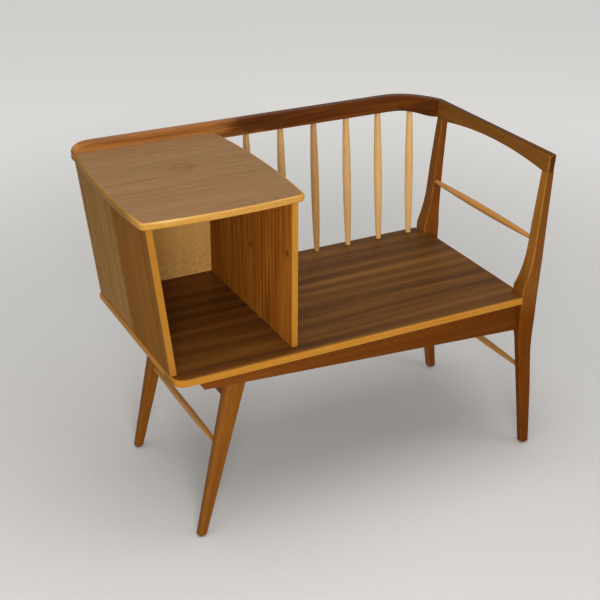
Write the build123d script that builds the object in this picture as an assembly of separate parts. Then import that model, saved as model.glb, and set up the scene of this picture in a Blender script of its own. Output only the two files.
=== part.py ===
from build123d import *
import math
import os

# Telephone bench: a long veneered seat board with a small open cabinet at its left
# end, a spindle back and one sculpted arm at its right end.
# Millimetres. X runs along the seat to the right, Y to the back and Z up from the floor.

# ---------------------------------------------------------------- driving dimensions
# seat board
seat_height = 396.0
board_length = 820.0
board_depth = 440.0
board_thickness = 14.0
board_corner_radius = 28.0
board_edge_round = 1.5
seat_lipping_width = 5.0
seat_lipping_return = 60.0

# under-frame
rail_thickness = 20.0
rail_depth = 70.0
apron_left_depth = 24.0
apron_setback = 15.0
apron_left_inset = 66.0
apron_end_lean = 14.0
tenon_thickness = 8.0
tenon_length = 12.0
tenon_shoulder = 10.0
bearer_tenon_length = 5.0
bearer_offset = 2.0
joint_clearance = 0.2

# left legs
leg_foot_inset = 54.0
leg_splay_angle = 13.1
leg_foot_width = 20.0
leg_top_width = 43.0
leg_foot_depth = 19.5
leg_top_depth = 32.0
leg_line_inset = 33.0
leg_outer_round = 0.40
leg_inner_round = 0.12
leg_foot_inner_round = 0.35
leg_step = 48.0

# right posts
post_foot_reach = 47.5
post_foot_width = 22.0
post_foot_depth = 20.5
post_foot_inset = 21.0
post_notch = 9.0
post_seat_width = 41.0
post_seat_depth = 42.0
post_front_inset = 1.5
post_top_reach = 27.0
post_top_width = 17.5
post_top_depth = 21.0
post_top_inset = 4.5
# Each row: a height, then how far the inner, outer, front and back faces have moved from
# their places at the seat's level. First from the frame's underside, then from the seat.
post_rows_from_frame = [
    (-20.0, 3.5, -0.5, 2.0, -17.5),
    (40.0, 0.0, 0.0, 0.0, -1.5),
]
post_rows_from_seat = [
    (8.0, 0.0, 1.5, 0.0, -1.0),
    (44.0, 10.5, 3.5, 0.5, -6.0),
    (84.0, 20.0, 5.5, 1.0, -9.5),
    (177.0, 28.0, 8.0, 1.5, -12.5),
]
post_arris = 6.0
post_foot_arris = 7.0
post_top_arris = 2.5
post_step = 24.0
back_post_lean = 11.0

# feet
foot_round = 4.0
foot_steps = (0.0, 0.1, 0.3, 0.6)
glide_radius = 6.0
glide_height = 3.0
glide_dome = 1.8
glide_pin_radius = 1.2
glide_pin_length = 12.0

# arm and back
arm_drop = 25.0
arm_depth = 38.0
arm_thickness = 17.5
arm_arch_rise = 14.0
arm_arch_inset = 24.0
arm_lean = 3.5
arm_arris = 3.0
arm_lower_arris = 2.0
arm_end_arris = 2.0
back_rail_depth = 37.0
back_rail_overlap = 3.0
back_rail_thickness = 24.0
back_rail_sweep_start = 110.0
back_rail_forward_sweep = 16.0
back_rail_end_thickness = 13.0
back_rail_end_drop = 8.0
back_rail_end_height = 22.0
back_rail_end_length = 45.0
back_rail_left_overhang = 1.0
back_rail_arris = 5.0
back_rail_stations = 14
rail_drop_delay = 1.6

# turned pieces
spindle_count = 6
first_spindle_gap = 85.0
last_spindle_inset = 38.0
spindle_base_inset = 14.0
spindle_top_forward = 1.0
spindle_foot_radius = 6.0
spindle_belly_radius = 9.5
spindle_neck_radius = 6.5
spindle_tenon_length = 9.0
arm_spindle_height = 126.5
arm_spindle_end_radius = 4.5
arm_spindle_belly_radius = 8.2
arm_spindle_reach = 23.0
stretcher_height = 204.0
stretcher_end_radius = 4.5
stretcher_belly_radius = 7.5
turned_tenon_length = 9.0

# cabinet
cabinet_width = 274.0
cabinet_height = 310.0
cabinet_edge_inset = 3.0
cabinet_setback = 30.0
panel_thickness = 13.2
panel_lean_angle = 6.3
panel_lipping_width = 5.0
back_panel_thickness = 4.0
rebate_width = 6.0

# cabinet top
top_thickness = 14.5
top_shift = 3.5
top_back_overhang = 2.0
top_front_overhang = 12.0
top_side_bow = 13.0
top_nose = 1.0
top_front_bow = 9.5
top_corner_radius = 14.0
top_lipping_width = 4.2
top_bullnose = 4.0

# fixings
dowel_radius = 3.0
arm_dowel_radius = 2.5
dowel_length = 20.0
dowel_depth = 9.0
mitre_dowel_length = 14.0
screw_shank_radius = 1.8
screw_head_radius = 3.6
screw_head_height = 2.6
screw_slot_width = 0.8
screw_bite = 12.0
board_screw_bite = 9.0
panel_screw_bite = 26.0
fixing_clearance = 0.1
pin_radius = 0.7
pin_length = 11.0
pin_shares = (0.1, 0.37, 0.63, 0.9)
block_length = 40.0
block_thickness = 20.0
block_height = 24.0
block_place = 150.0

# how far a cutting shape, or the root of a tenon, runs past the face it starts from
margin = 1.0
tolerance = 0.01

# ---------------------------------------------------------------- derived places
left_edge = -board_length / 2
right_edge = board_length / 2
front_edge = -board_depth / 2
back_edge = board_depth / 2
board_underside = seat_height - board_thickness
frame_underside = board_underside - rail_depth

apron_front = front_edge + apron_setback
apron_back = apron_front + rail_thickness
leg_line = back_edge - leg_line_inset
leg_foot_x = left_edge + leg_foot_inset
leg_slope = math.tan(math.radians(leg_splay_angle))
bearer_right = leg_foot_x + leg_slope * (frame_underside + rail_depth / 2) + bearer_offset
bearer_left = bearer_right - rail_thickness

post_seat_inner = right_edge - post_notch
post_seat_outer = post_seat_inner + post_seat_width
post_top_inner = right_edge + post_top_reach
post_foot_x = right_edge + post_foot_reach
post_front = front_edge + post_front_inset
post_back = post_front + post_seat_depth
side_rail_left = post_seat_inner + tenon_length + joint_clearance

top_underside = seat_height + cabinet_height
panel_front = front_edge + cabinet_setback
panel_slope = math.tan(math.radians(panel_lean_angle))
panel_run = panel_thickness / math.cos(math.radians(panel_lean_angle))
left_panel_outer = left_edge + cabinet_edge_inset
left_panel_top = left_panel_outer - panel_slope * cabinet_height
right_panel_outer = left_panel_outer + cabinet_width
right_panel_inner = right_panel_outer - panel_thickness

back_rail_underside = top_underside - back_rail_overlap
back_rail_top = back_rail_underside + back_rail_depth
arm_underside = back_rail_underside - arm_drop
arm_top = arm_underside + arm_depth
back_rail_front = back_edge
back_rail_back = back_rail_front + back_rail_thickness
spindle_base_y = back_edge - spindle_base_inset
first_spindle_x = right_panel_outer + first_spindle_gap
last_spindle_x = right_edge - last_spindle_inset
spindle_pitch = (last_spindle_x - first_spindle_x) / (spindle_count - 1)
sweep_x = right_edge - back_rail_sweep_start
mitre_inner = (post_top_inner, back_edge - back_rail_forward_sweep)
mitre_slope = back_rail_end_thickness / (arm_thickness + arm_lean)
mitre_outer = (post_top_inner + arm_thickness, mitre_inner[1] + arm_thickness * mitre_slope)


# ---------------------------------------------------------------- helpers
standing = (Align.CENTER, Align.CENTER, Align.MIN)


def block(x0, x1, y0, y1, z0, z1):
    """A box between two corners."""
    centre = Pos((x0 + x1) / 2, (y0 + y1) / 2, (z0 + z1) / 2)
    return centre * Box(x1 - x0, y1 - y0, z1 - z0)


def rod(start, end, radius):
    """A cylinder from one point to another."""
    run = Vector(*end) - Vector(*start)
    upright = Cylinder(radius, run.length, align=standing)
    return Plane(origin=start, z_dir=run) * upright


def side_view(edges, width):
    """Edges drawn as (y, z), as a solid that spans the width about X = 0."""
    return extrude(Plane.YZ * make_face(edges), width / 2, both=True)


def front_view(edges, width):
    """Edges drawn as (x, z), as a solid that spans the width about Y = 0."""
    return extrude(Plane.XZ * make_face(edges), width / 2, both=True)


def plan_view(edges, bottom, top):
    """Edges drawn as (x, y), as a solid from one level to another."""
    return extrude(Plane.XY.offset(bottom) * make_face(edges), top - bottom)


def turned_piece(start, end, radii, tenon):
    """A turned piece: straight ends of one tenon length and a full belly between."""
    run = Vector(*end) - Vector(*start)
    first, belly, last = radii
    length = run.length
    outline = [
        Line((0, 0), (first, 0)),
        Line((first, 0), (first, tenon)),
        ThreePointArc((first, tenon), (belly, length / 2), (last, length - tenon)),
        Line((last, length - tenon), (last, length)),
        Line((last, length), (0, length)),
        Line((0, length), (0, 0)),
    ]
    upright = revolve(Plane.XZ * make_face(outline), Axis.Z)
    return Plane(origin=start, z_dir=run) * upright


def turned_hole(start, end, radii, tenon):
    """The room for a turned piece, a clearance wider and longer than the piece."""
    step = (Vector(*end) - Vector(*start)).normalized() * joint_clearance
    grown = [radius + joint_clearance / 2 for radius in radii]
    first = Vector(*start) - step
    last = Vector(*end) + step
    return turned_piece(tuple(first), tuple(last), grown, tenon + joint_clearance)


def screw_form(head, direction, length, room):
    """A countersunk screw's outer form from its flush head, grown by some room."""
    shank = Cylinder(screw_shank_radius + room, length + room, align=standing)
    top = Cone(screw_head_radius + room, screw_shank_radius + room, screw_head_height,
               align=standing)
    return Plane(origin=head, z_dir=direction) * (shank + top)


def wood_screw(head, direction, length):
    """A slotted countersunk screw."""
    slot = Box(screw_head_radius * 3, screw_slot_width, screw_head_height)
    return screw_form(head, direction, length, 0.0) - Plane(origin=head, z_dir=direction) * slot


def screw_hole(head, direction, length):
    """The hole for a screw, with a fixing clearance all round."""
    return screw_form(head, direction, length, fixing_clearance)


def back_half(shape):
    """The same shape at the other side of the middle plane."""
    return mirror(shape, Plane.XZ)


def both_halves(shapes):
    """The shapes of the front half and the same shapes of the back half."""
    return list(shapes) + [back_half(shape) for shape in shapes]


def rail_share(x):
    """How far along its swept end the back rail is at one X: 0 straight, 1 at the mitre."""
    return max(0.0, (x - sweep_x) / (post_top_inner - sweep_x))


def rail_underside_at(share):
    """The back rail's underside, level and then dropping to the arm's underside."""
    drop = math.sin(math.pi / 2 * share ** rail_drop_delay) ** 2
    return back_rail_underside - (back_rail_underside - arm_underside) * drop


def rail_front_at(share):
    """Y of the back rail's front face, straight and then swept forward."""
    return back_rail_front - back_rail_forward_sweep * share ** 2


def rail_back_at(share):
    """Y of the back rail's back face, straight and then swept forward."""
    return back_rail_back - (back_rail_back - mitre_outer[1]) * share ** 2


# ---------------------------------------------------------------- turned pieces
def spindle_ends(number):
    """The two ends of one back spindle, counted from the cabinet."""
    x = first_spindle_x + number * spindle_pitch
    share = rail_share(x)
    top = rail_underside_at(share)
    top_y = (rail_front_at(share) + rail_back_at(share)) / 2 - spindle_top_forward
    lean = (top_y - spindle_base_y) / (top - seat_height)
    base = (x, spindle_base_y - lean * spindle_tenon_length, seat_height - spindle_tenon_length)
    return base, (x, top_y + lean * spindle_tenon_length, top + spindle_tenon_length)


def post_middle(height):
    """X of the middle of a right post's foot-to-seat run at one height."""
    seat_middle = (post_seat_inner + post_seat_outer) / 2
    return post_foot_x + (seat_middle - post_foot_x) * height / frame_underside


def leg_middle(height):
    """X of the middle of a left leg at one height."""
    return leg_foot_x + leg_slope * height


def leg_width_at(height):
    """The width of a left leg at one height, along X."""
    return leg_foot_width + (leg_top_width - leg_foot_width) * height / board_underside


def leg_depth_at(height):
    """The depth of a left leg at one height, along Y."""
    return leg_foot_depth + (leg_top_depth - leg_foot_depth) * height / board_underside


spindle_radii = (spindle_foot_radius, spindle_belly_radius, spindle_neck_radius)
stretcher_radii = (stretcher_end_radius, stretcher_belly_radius, stretcher_end_radius)
arm_spindle_radii = (arm_spindle_end_radius, arm_spindle_belly_radius, arm_spindle_end_radius)

spindle_forms = [(*spindle_ends(number), spindle_radii, spindle_tenon_length)
                 for number in range(spindle_count)]
spindles = [turned_piece(*form) for form in spindle_forms]
spindle_holes = [turned_hole(*form) for form in spindle_forms]

left_stretcher_end = leg_line - leg_depth_at(stretcher_height) / 2 + turned_tenon_length
left_stretcher_x = leg_middle(stretcher_height)
left_stretcher_form = ((left_stretcher_x, -left_stretcher_end, stretcher_height),
                       (left_stretcher_x, left_stretcher_end, stretcher_height),
                       stretcher_radii, turned_tenon_length)
left_stretcher = turned_piece(*left_stretcher_form)

post_line = back_edge - post_foot_inset
right_stretcher_end = post_line - post_foot_depth / 2 + turned_tenon_length
right_stretcher_x = post_middle(stretcher_height)
right_stretcher_form = ((right_stretcher_x, -right_stretcher_end, stretcher_height),
                        (right_stretcher_x, right_stretcher_end, stretcher_height),
                        stretcher_radii, turned_tenon_length)
right_stretcher = turned_piece(*right_stretcher_form)


# ---------------------------------------------------------------- right posts
def slope_at(stations, index, column):
    """The slope of one measure at a station, level where the measure turns or rests."""
    before = stations[max(index - 1, 0)]
    here = stations[index]
    after = stations[min(index + 1, len(stations) - 1)]
    inside = 0 < index < len(stations) - 1
    if inside and (here[column] - before[column]) * (after[column] - here[column]) <= 0:
        return 0.0
    return (after[column] - before[column]) / (after[0] - before[0])


def measure_at(stations, height, column):
    """One measure at any height, on a smooth curve through the stations."""
    index = max(n for n in range(len(stations) - 1) if stations[n][0] <= height)
    low, high = stations[index], stations[index + 1]
    gap = high[0] - low[0]
    t = (height - low[0]) / gap
    start = slope_at(stations, index, column) * gap
    end = slope_at(stations, index + 1, column) * gap
    rise = high[column] - low[column]
    bend = (3 * rise - 2 * start - end) * t ** 2 + (start + end - 2 * rise) * t ** 3
    return low[column] + start * t + bend


def foot_inset(height):
    """How far a leg's section draws in on every side near its rounded foot."""
    short = max(0.0, foot_round - (height - glide_height))
    return foot_round - math.sqrt(foot_round ** 2 - short ** 2)


def section_heights(low, high, step):
    """Heights of a leg's sections: close together in the rounded foot, then even."""
    start = low + foot_round
    count = max(1, round((high - start) / step))
    rising = [start + (high - start) * share / count for share in range(count + 1)]
    return [low + foot_round * share for share in foot_steps] + rising


def moved_faces(level, row):
    """A post's station: its height and its four faces, moved from the seat's level."""
    rise, inner, outer, front, back = row
    return (level + rise, post_seat_inner + inner, post_seat_outer + outer,
            post_front + front, post_back + back)


def post_stations():
    """Height, inner and outer X, front and back Y of the front right post."""
    foot = (glide_height, post_foot_x - post_foot_width / 2, post_foot_x + post_foot_width / 2,
            -post_line - post_foot_depth / 2, -post_line + post_foot_depth / 2)
    near_frame = [moved_faces(frame_underside, row) for row in post_rows_from_frame]
    above_seat = [moved_faces(seat_height, row) for row in post_rows_from_seat]
    waist = [(low + high) / 2 for low, high in zip(foot, near_frame[0])]
    top_front = front_edge + post_top_inset
    top = (arm_underside, post_top_inner, post_top_inner + post_top_width,
           top_front, top_front + post_top_depth)
    return [foot, waist, *near_frame, *above_seat, top]


def post_section(stations, height, lean):
    """One level section of a right post, with eased arrises."""
    inner, outer, front, back = [measure_at(stations, height, column) for column in (1, 2, 3, 4)]
    inset = foot_inset(height)
    below = max(0.0, 1 - height / frame_underside)
    above = max(0.0, (height - seat_height) / (arm_underside - seat_height))
    arris = post_arris + (post_foot_arris - post_arris) * below - inset
    arris += (post_top_arris - post_arris) * above
    outline = RectangleRounded(outer - inner - 2 * inset, back - front - 2 * inset, arris)
    return Pos((inner + outer) / 2, (front + back) / 2 + lean * above ** 2, height) * outline


def post_blank(lean):
    """A right post drawn at the front: splayed below the seat, leaning out above it."""
    stations = post_stations()
    heights = section_heights(glide_height, arm_underside, post_step)
    return loft([post_section(stations, height, lean) for height in heights], ruled=True)


front_post_blank = post_blank(0.0)
back_post_form = post_blank(back_post_lean)

arm_spindle_x = right_edge + arm_spindle_reach
arm_spindle_z = seat_height + arm_spindle_height
arm_spindle_end = turned_tenon_length - measure_at(post_stations(), arm_spindle_z, 4)
arm_spindle_form = ((arm_spindle_x, -arm_spindle_end, arm_spindle_z),
                    (arm_spindle_x, arm_spindle_end, arm_spindle_z),
                    arm_spindle_radii, turned_tenon_length)
arm_spindle = turned_piece(*arm_spindle_form)


# ---------------------------------------------------------------- left legs
def leg_section(height):
    """One level section of a left leg: well rounded outside, crisp inside near the top."""
    share = height / board_underside
    inset = foot_inset(height)
    width = leg_width_at(height) - 2 * inset
    depth = leg_depth_at(height) - 2 * inset
    inner_round = leg_foot_inner_round + (leg_inner_round - leg_foot_inner_round) * share
    outline = Rectangle(width, depth)
    outside = outline.vertices().filter_by(lambda corner: corner.X < 0)
    outline = fillet(outside, depth * leg_outer_round)
    inside = outline.vertices().filter_by(lambda corner: corner.X > width / 2 - tolerance
                                          and abs(corner.Y) > depth / 2 - tolerance)
    outline = fillet(inside, depth * inner_round)
    return Pos(leg_middle(height), -leg_line, height) * outline


def leg_blank():
    """The front left leg, tapered from under the board down to its foot."""
    heights = section_heights(glide_height, board_underside, leg_step)
    return loft([leg_section(height) for height in heights], ruled=True)


front_leg_blank = leg_blank()


# ---------------------------------------------------------------- under-frame
def apron_blank():
    """The front apron, deep at the right post and tapering to its slanted left end."""
    left = left_edge + apron_left_inset
    right = post_seat_inner + tenon_length
    outline = Polyline(
        (left - apron_end_lean, board_underside),
        (left, board_underside - apron_left_depth),
        (right, frame_underside),
        (right, board_underside),
        close=True,
    )
    board = front_view([outline], rail_thickness)
    return Pos(0, (apron_front + apron_back) / 2, 0) * board


def apron_tenon(room):
    """The tenon from the front apron into the front post, or its mortise with some room."""
    middle = (apron_front + apron_back) / 2
    half = tenon_thickness / 2 + room
    return block(post_seat_inner - margin, post_seat_inner + tenon_length + room,
                 middle - half, middle + half,
                 frame_underside + tenon_shoulder - room, board_underside - tenon_shoulder + room)


def side_rail_tenon(room):
    """The tenon from the side rail into the front post, or its mortise with some room."""
    middle = side_rail_left + rail_thickness / 2
    half = tenon_thickness / 2 + room
    return block(middle - half, middle + half,
                 post_back - tenon_length - room, post_back + margin,
                 frame_underside + tenon_shoulder - room, board_underside - tenon_shoulder + room)


def bearer_tenon(room):
    """The tenon from the cross-bearer into the front leg, or its mortise with some room."""
    middle = (bearer_left + bearer_right) / 2
    half = tenon_thickness / 2 + room
    leg_back = -leg_line + leg_foot_depth / 2
    return block(middle - half, middle + half,
                 leg_back - bearer_tenon_length - room, apron_back + rail_thickness / 2,
                 frame_underside + tenon_shoulder - room, board_underside - tenon_shoulder + room)


front_apron = apron_blank() - front_post_blank + apron_tenon(0.0)

right_side_rail = block(side_rail_left, side_rail_left + rail_thickness,
                        post_back - tenon_length, tenon_length - post_back,
                        frame_underside, board_underside)
right_side_rail -= [front_post_blank, back_half(back_post_form)]
right_side_rail += both_halves([side_rail_tenon(0.0)])

bearer_body = block(bearer_left, bearer_right, apron_back, -apron_back,
                    frame_underside, board_underside) - both_halves([front_leg_blank])
bearer_between = max(bearer_body.solids(), key=lambda solid: solid.volume)
cross_bearer = Part() + bearer_between + both_halves([bearer_tenon(0.0)])


# ---------------------------------------------------------------- seat board
def board_blank():
    """The whole board with its lippings, notched round both right posts."""
    outline = Rectangle(board_length, board_depth)
    corner = outline.vertices().sort_by(Axis.X)[:2].sort_by(Axis.Y)[0]
    outline = fillet([corner], board_corner_radius)
    board = extrude(Pos(0, 0, board_underside) * outline, board_thickness)
    notch = block(post_seat_inner - joint_clearance, right_edge + margin,
                  front_edge - margin, post_back + joint_clearance,
                  board_underside - margin, seat_height + margin)
    board -= notch
    board -= back_half(notch)
    rims = board.edges().filter_by(lambda edge: edge.bounding_box().size.Z < tolerance)
    rims = rims.filter_by(lambda edge: edge.center().Y < front_edge + board_corner_radius
                          and edge.center().X < right_edge / 2
                          or edge.center().X < left_edge + tolerance)
    return fillet(rims, board_edge_round)


whole_board = board_blank()
inner_outline = Rectangle(board_length, board_depth)
inner_corner = inner_outline.vertices().sort_by(Axis.X)[:2].sort_by(Axis.Y)[0]
inner_outline = fillet([inner_corner], board_corner_radius - seat_lipping_width)
inner_region = extrude(
    Pos(seat_lipping_width, seat_lipping_width, board_underside - margin) * inner_outline,
    board_thickness + 2 * margin,
)
seat_board = whole_board & inner_region
seat_edge = whole_board - inner_region
edge_split = front_edge + seat_lipping_return
below_split = block(left_edge - margin, right_edge + margin, front_edge - margin, edge_split,
                    board_underside - margin, seat_height + margin)
seat_front_lipping = seat_edge & below_split
seat_left_lipping = seat_edge - below_split


# ---------------------------------------------------------------- cabinet
def leaning_slab(y0, y1, inset, run):
    """A slab that follows the left panel's lean, a run thick from an inset."""
    low = left_panel_outer + inset
    high = left_panel_top + inset
    outline = Polyline((low, seat_height), (low + run, seat_height),
                       (high + run, top_underside), (high, top_underside), close=True)
    return Pos(0, (y0 + y1) / 2, 0) * front_view([outline], y1 - y0)


def front_arrises(lipping):
    """The two long front edges of a panel's lipping."""
    return lipping.edges().filter_by(lambda edge: edge.center().Y < panel_front + tolerance
                                     and edge.bounding_box().size.Z > cabinet_height / 2)


panel_core_front = panel_front + panel_lipping_width
rebate_front = back_edge - back_panel_thickness
left_rebate = leaning_slab(rebate_front, back_edge + margin,
                           panel_run - rebate_width, panel_run)
cabinet_left_panel = leaning_slab(panel_core_front, back_edge, 0.0, panel_run) - left_rebate
cabinet_left_lipping = leaning_slab(panel_front, panel_core_front, 0.0, panel_run)
cabinet_left_lipping = fillet(front_arrises(cabinet_left_lipping), board_edge_round)

right_rebate = block(right_panel_inner - margin, right_panel_inner + rebate_width,
                     rebate_front, back_edge + margin, seat_height, top_underside)
cabinet_right_panel = block(right_panel_inner, right_panel_outer, panel_core_front,
                            back_edge, seat_height, top_underside) - right_rebate
cabinet_right_lipping = block(right_panel_inner, right_panel_outer, panel_front,
                              panel_core_front, seat_height, top_underside)
cabinet_right_lipping = fillet(front_arrises(cabinet_right_lipping), board_edge_round)

back_low = left_panel_outer + panel_run - rebate_width + joint_clearance
back_high = left_panel_top + panel_run - rebate_width + joint_clearance
back_right = right_panel_inner + rebate_width - joint_clearance
back_outline = Polyline((back_low, seat_height), (back_right, seat_height),
                        (back_right, top_underside), (back_high, top_underside), close=True)
cabinet_back_panel = front_view([back_outline], back_panel_thickness)
cabinet_back_panel = Pos(0, back_edge - back_panel_thickness / 2, 0) * cabinet_back_panel


def top_outline(inset):
    """The top's plan: bowed sides and front, rounded front corners, straight back."""
    middle = (left_panel_top + right_panel_outer) / 2 + top_shift
    half = (right_panel_outer - left_panel_top) / 2
    back_half_width = half + top_back_overhang - inset
    front_half_width = half + top_front_overhang - inset
    front_y = panel_front - top_nose + inset
    mid_y = (front_y + back_edge) / 2
    mid_half = (back_half_width + front_half_width) / 2 + top_side_bow
    left_back = (middle - back_half_width, back_edge)
    left_front = (middle - front_half_width, front_y)
    right_front = (middle + front_half_width, front_y)
    right_back = (middle + back_half_width, back_edge)
    outline = make_face([
        ThreePointArc(left_back, (middle - mid_half, mid_y), left_front),
        ThreePointArc(left_front, (middle, front_y - top_front_bow), right_front),
        ThreePointArc(right_front, (middle + mid_half, mid_y), right_back),
        Line(right_back, left_back),
    ])
    front_corners = outline.vertices().sort_by(Axis.Y)[:2]
    return fillet(front_corners, top_corner_radius - inset)


def top_blank():
    """The whole cabinet top with its bullnosed edge."""
    slab = extrude(Pos(0, 0, top_underside) * top_outline(0.0), top_thickness)
    rims = slab.edges().filter_by(lambda edge: edge.bounding_box().size.Z < tolerance
                                  and edge.center().Y < back_edge - margin)
    return fillet(rims, top_bullnose)


whole_top = top_blank()
top_core_region = extrude(Pos(0, 0, top_underside - margin) * top_outline(top_lipping_width),
                          top_thickness + 2 * margin)
cabinet_top = whole_top & top_core_region
cabinet_top_lipping = whole_top - top_core_region


# ---------------------------------------------------------------- back rail and arm
rail_left_end = left_panel_top - back_rail_left_overhang


def rail_straight():
    """The straight length of the back rail, rounded over at its left end."""
    corner_x = rail_left_end + back_rail_end_length
    end_top = back_rail_top - back_rail_end_height
    outline = [
        Line((rail_left_end, back_rail_underside), (sweep_x, back_rail_underside)),
        Line((sweep_x, back_rail_underside), (sweep_x, back_rail_top)),
        Line((sweep_x, back_rail_top), (corner_x, back_rail_top)),
        Spline((corner_x, back_rail_top),
               (rail_left_end + back_rail_end_drop, back_rail_top - back_rail_end_drop),
               (rail_left_end, end_top), tangents=((-1, 0), (0, -1))),
        Line((rail_left_end, end_top), (rail_left_end, back_rail_underside)),
    ]
    middle = (back_rail_front + back_rail_back) / 2
    rail = Pos(0, middle, 0) * front_view(outline, back_rail_thickness)
    upper = rail.edges().filter_by(lambda edge: edge.bounding_box().size.Y < tolerance
                                   and edge.center().X < sweep_x - margin
                                   and edge.center().Z > back_rail_underside + tolerance)
    rail = fillet(upper, back_rail_arris)
    lower = rail.edges().filter_by(lambda edge: edge.bounding_box().size.Y < tolerance
                                   and edge.length > sweep_x
                                   and edge.center().Z < back_rail_underside + tolerance)
    return fillet(lower, arm_lower_arris)


def rail_section(share):
    """One upright section of the back rail's swept end."""
    front_x = sweep_x + (mitre_inner[0] - sweep_x) * share
    back_x = sweep_x + (mitre_outer[0] - sweep_x) * share
    run = Vector(back_x - front_x, rail_back_at(share) - rail_front_at(share), 0)
    low = rail_underside_at(share)
    high = back_rail_top - (back_rail_top - arm_top) * share ** 2
    lean = arm_lean * math.hypot(1, mitre_slope) * share ** 2
    outline = make_face(Polyline((0, 0), (run.length, 0), (run.length + lean, high - low),
                                 (lean, high - low), close=True))
    outline = fillet(outline.vertices().sort_by(Axis.Y)[:2], arm_lower_arris)
    arris = back_rail_arris + (arm_arris - back_rail_arris) * share
    outline = fillet(outline.vertices().sort_by(Axis.Y)[-2:], arris)
    corner = (front_x, rail_front_at(share), low)
    return Plane(origin=corner, x_dir=run, z_dir=(run.Y, -run.X, 0)) * outline


def back_rail_blank():
    """The back rail: straight, then swept forward and down to its mitre with the arm."""
    shares = [step / back_rail_stations for step in range(back_rail_stations + 1)]
    swept = loft([rail_section(share) for share in shares], ruled=True)
    return rail_straight() + swept


def arm_blank():
    """The arm: straight above, arched below, leaning out with the posts."""
    front = front_edge + post_top_inset
    arch_start = front + post_top_depth
    arch_end = -arch_start - back_post_lean - arm_arch_inset
    back = mitre_inner[1] + back_rail_thickness
    side = side_view([
        Line((front, arm_underside), (arch_start, arm_underside)),
        ThreePointArc((arch_start, arm_underside),
                      ((arch_start + arch_end) / 2, arm_underside + arm_arch_rise),
                      (arch_end, arm_underside)),
        Line((arch_end, arm_underside), (back, arm_underside)),
        Line((back, arm_underside), (back, arm_top)),
        Line((back, arm_top), (front, arm_top)),
        Line((front, arm_top), (front, arm_underside)),
    ], board_length * 3)
    section = Polyline(
        (post_top_inner, arm_underside), (post_top_inner + arm_thickness, arm_underside),
        (post_top_inner + arm_thickness + arm_lean, arm_top),
        (post_top_inner + arm_lean, arm_top), close=True)
    arm = side & front_view([section], board_depth * 3)
    front_uprights = arm.edges().filter_by(lambda edge: edge.center().Y < front + tolerance
                                           and edge.bounding_box().size.Z > arm_depth / 2)
    arm = fillet(front_uprights, arm_end_arris)
    upper = arm.edges().filter_by(lambda edge: edge.center().Z > arm_top - tolerance
                                  and edge.center().Y < mitre_inner[1])
    arm = fillet(upper, arm_arris)
    reach = arm_thickness * 3
    before = (mitre_inner[0] - reach, mitre_inner[1] - reach * mitre_slope)
    beyond = (mitre_inner[0] + reach, mitre_inner[1] + reach * mitre_slope)
    behind_mitre = plan_view([Polyline(
        before, beyond, (before[0], beyond[1]), close=True)],
        arm_underside - margin, back_rail_top + margin)
    return arm - behind_mitre


rail_blank = back_rail_blank()
arm_rail_blank = arm_blank()


# ---------------------------------------------------------------- hidden blocks
def glue_block(x):
    """A block behind the front apron, glued under the board."""
    return block(x - block_length / 2, x + block_length / 2, apron_back,
                 apron_back + block_thickness, board_underside - block_height, board_underside)


def corner_block_form():
    """The block in the corner of the front apron, the post and the side rail."""
    outline = Polyline(
        (post_seat_inner - block_length, apron_back), (side_rail_left, apron_back),
        (side_rail_left, post_back + block_length), close=True)
    corner = plan_view([outline], board_underside - block_height, board_underside)
    return corner - front_post_blank


def rail_block():
    """The long block between the corner blocks that joins the board's end to the side rail."""
    reach = -(post_back + block_length)
    return block(side_rail_left - block_thickness, side_rail_left, -reach, reach,
                 board_underside - block_height, board_underside)


glue_block_places = (-block_place, block_place)
corner_screw_x = post_seat_inner - block_length / 3
corner_screw_y = post_back + block_length / 8


# ---------------------------------------------------------------- fixings
def block_screw(x, y):
    """The place of a screw up through a block into the board."""
    return (x, y, board_underside - block_height), (0, 0, 1), block_height + board_screw_bite


def leg_screw():
    """The place of the screw from behind the front leg's notch into the apron."""
    height = board_underside - apron_left_depth / 2
    back = leg_depth_at(height) / 2 - leg_line
    head = (leg_middle(height) + leg_top_width / 5, back, height)
    return head, (0, -1, 0), back - apron_back + screw_bite


def left_panel_screw(y):
    """The place of a screw up through the board into the leaning left panel."""
    drop = board_thickness * panel_slope
    head = (left_panel_outer + panel_run / 2 + drop, y, board_underside)
    return head, (-panel_slope, 0, 1), panel_screw_bite + board_thickness


def right_panel_screw(y):
    """The place of a screw up through the board into the right panel."""
    head = (right_panel_outer - panel_thickness / 2, y, board_underside)
    return head, (0, 0, 1), panel_screw_bite + board_thickness


def rail_screw(x):
    """The place of a screw through the back rail into the cabinet top."""
    head = (x, back_rail_back, top_underside + top_thickness / 2)
    return head, (0, -1, 0), back_rail_thickness + panel_screw_bite


panel_thirds = (-board_depth / 3, 0.0, board_depth / 3)
rail_screw_inset = cabinet_width / 5
front_block_screws = [block_screw(x, apron_back + block_thickness / 2)
                      for x in glue_block_places]
front_block_screws.append(block_screw(corner_screw_x, corner_screw_y))
panel_screw_places = [left_panel_screw(y) for y in panel_thirds]
panel_screw_places += [right_panel_screw(y) for y in panel_thirds]
rail_screw_places = [rail_screw(left_panel_top + rail_screw_inset),
                     rail_screw(right_panel_outer - rail_screw_inset)]

board_screws = both_halves([wood_screw(*place) for place in front_block_screws])
board_screw_holes = both_halves([screw_hole(*place) for place in front_block_screws])
leg_screws = both_halves([wood_screw(*leg_screw())])
leg_screw_hole = screw_hole(*leg_screw())
panel_screws = [wood_screw(*place) for place in panel_screw_places]
panel_screw_holes = [screw_hole(*place) for place in panel_screw_places]
rail_screws = [wood_screw(*place) for place in rail_screw_places]
rail_screw_holes = [screw_hole(*place) for place in rail_screw_places]


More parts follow.
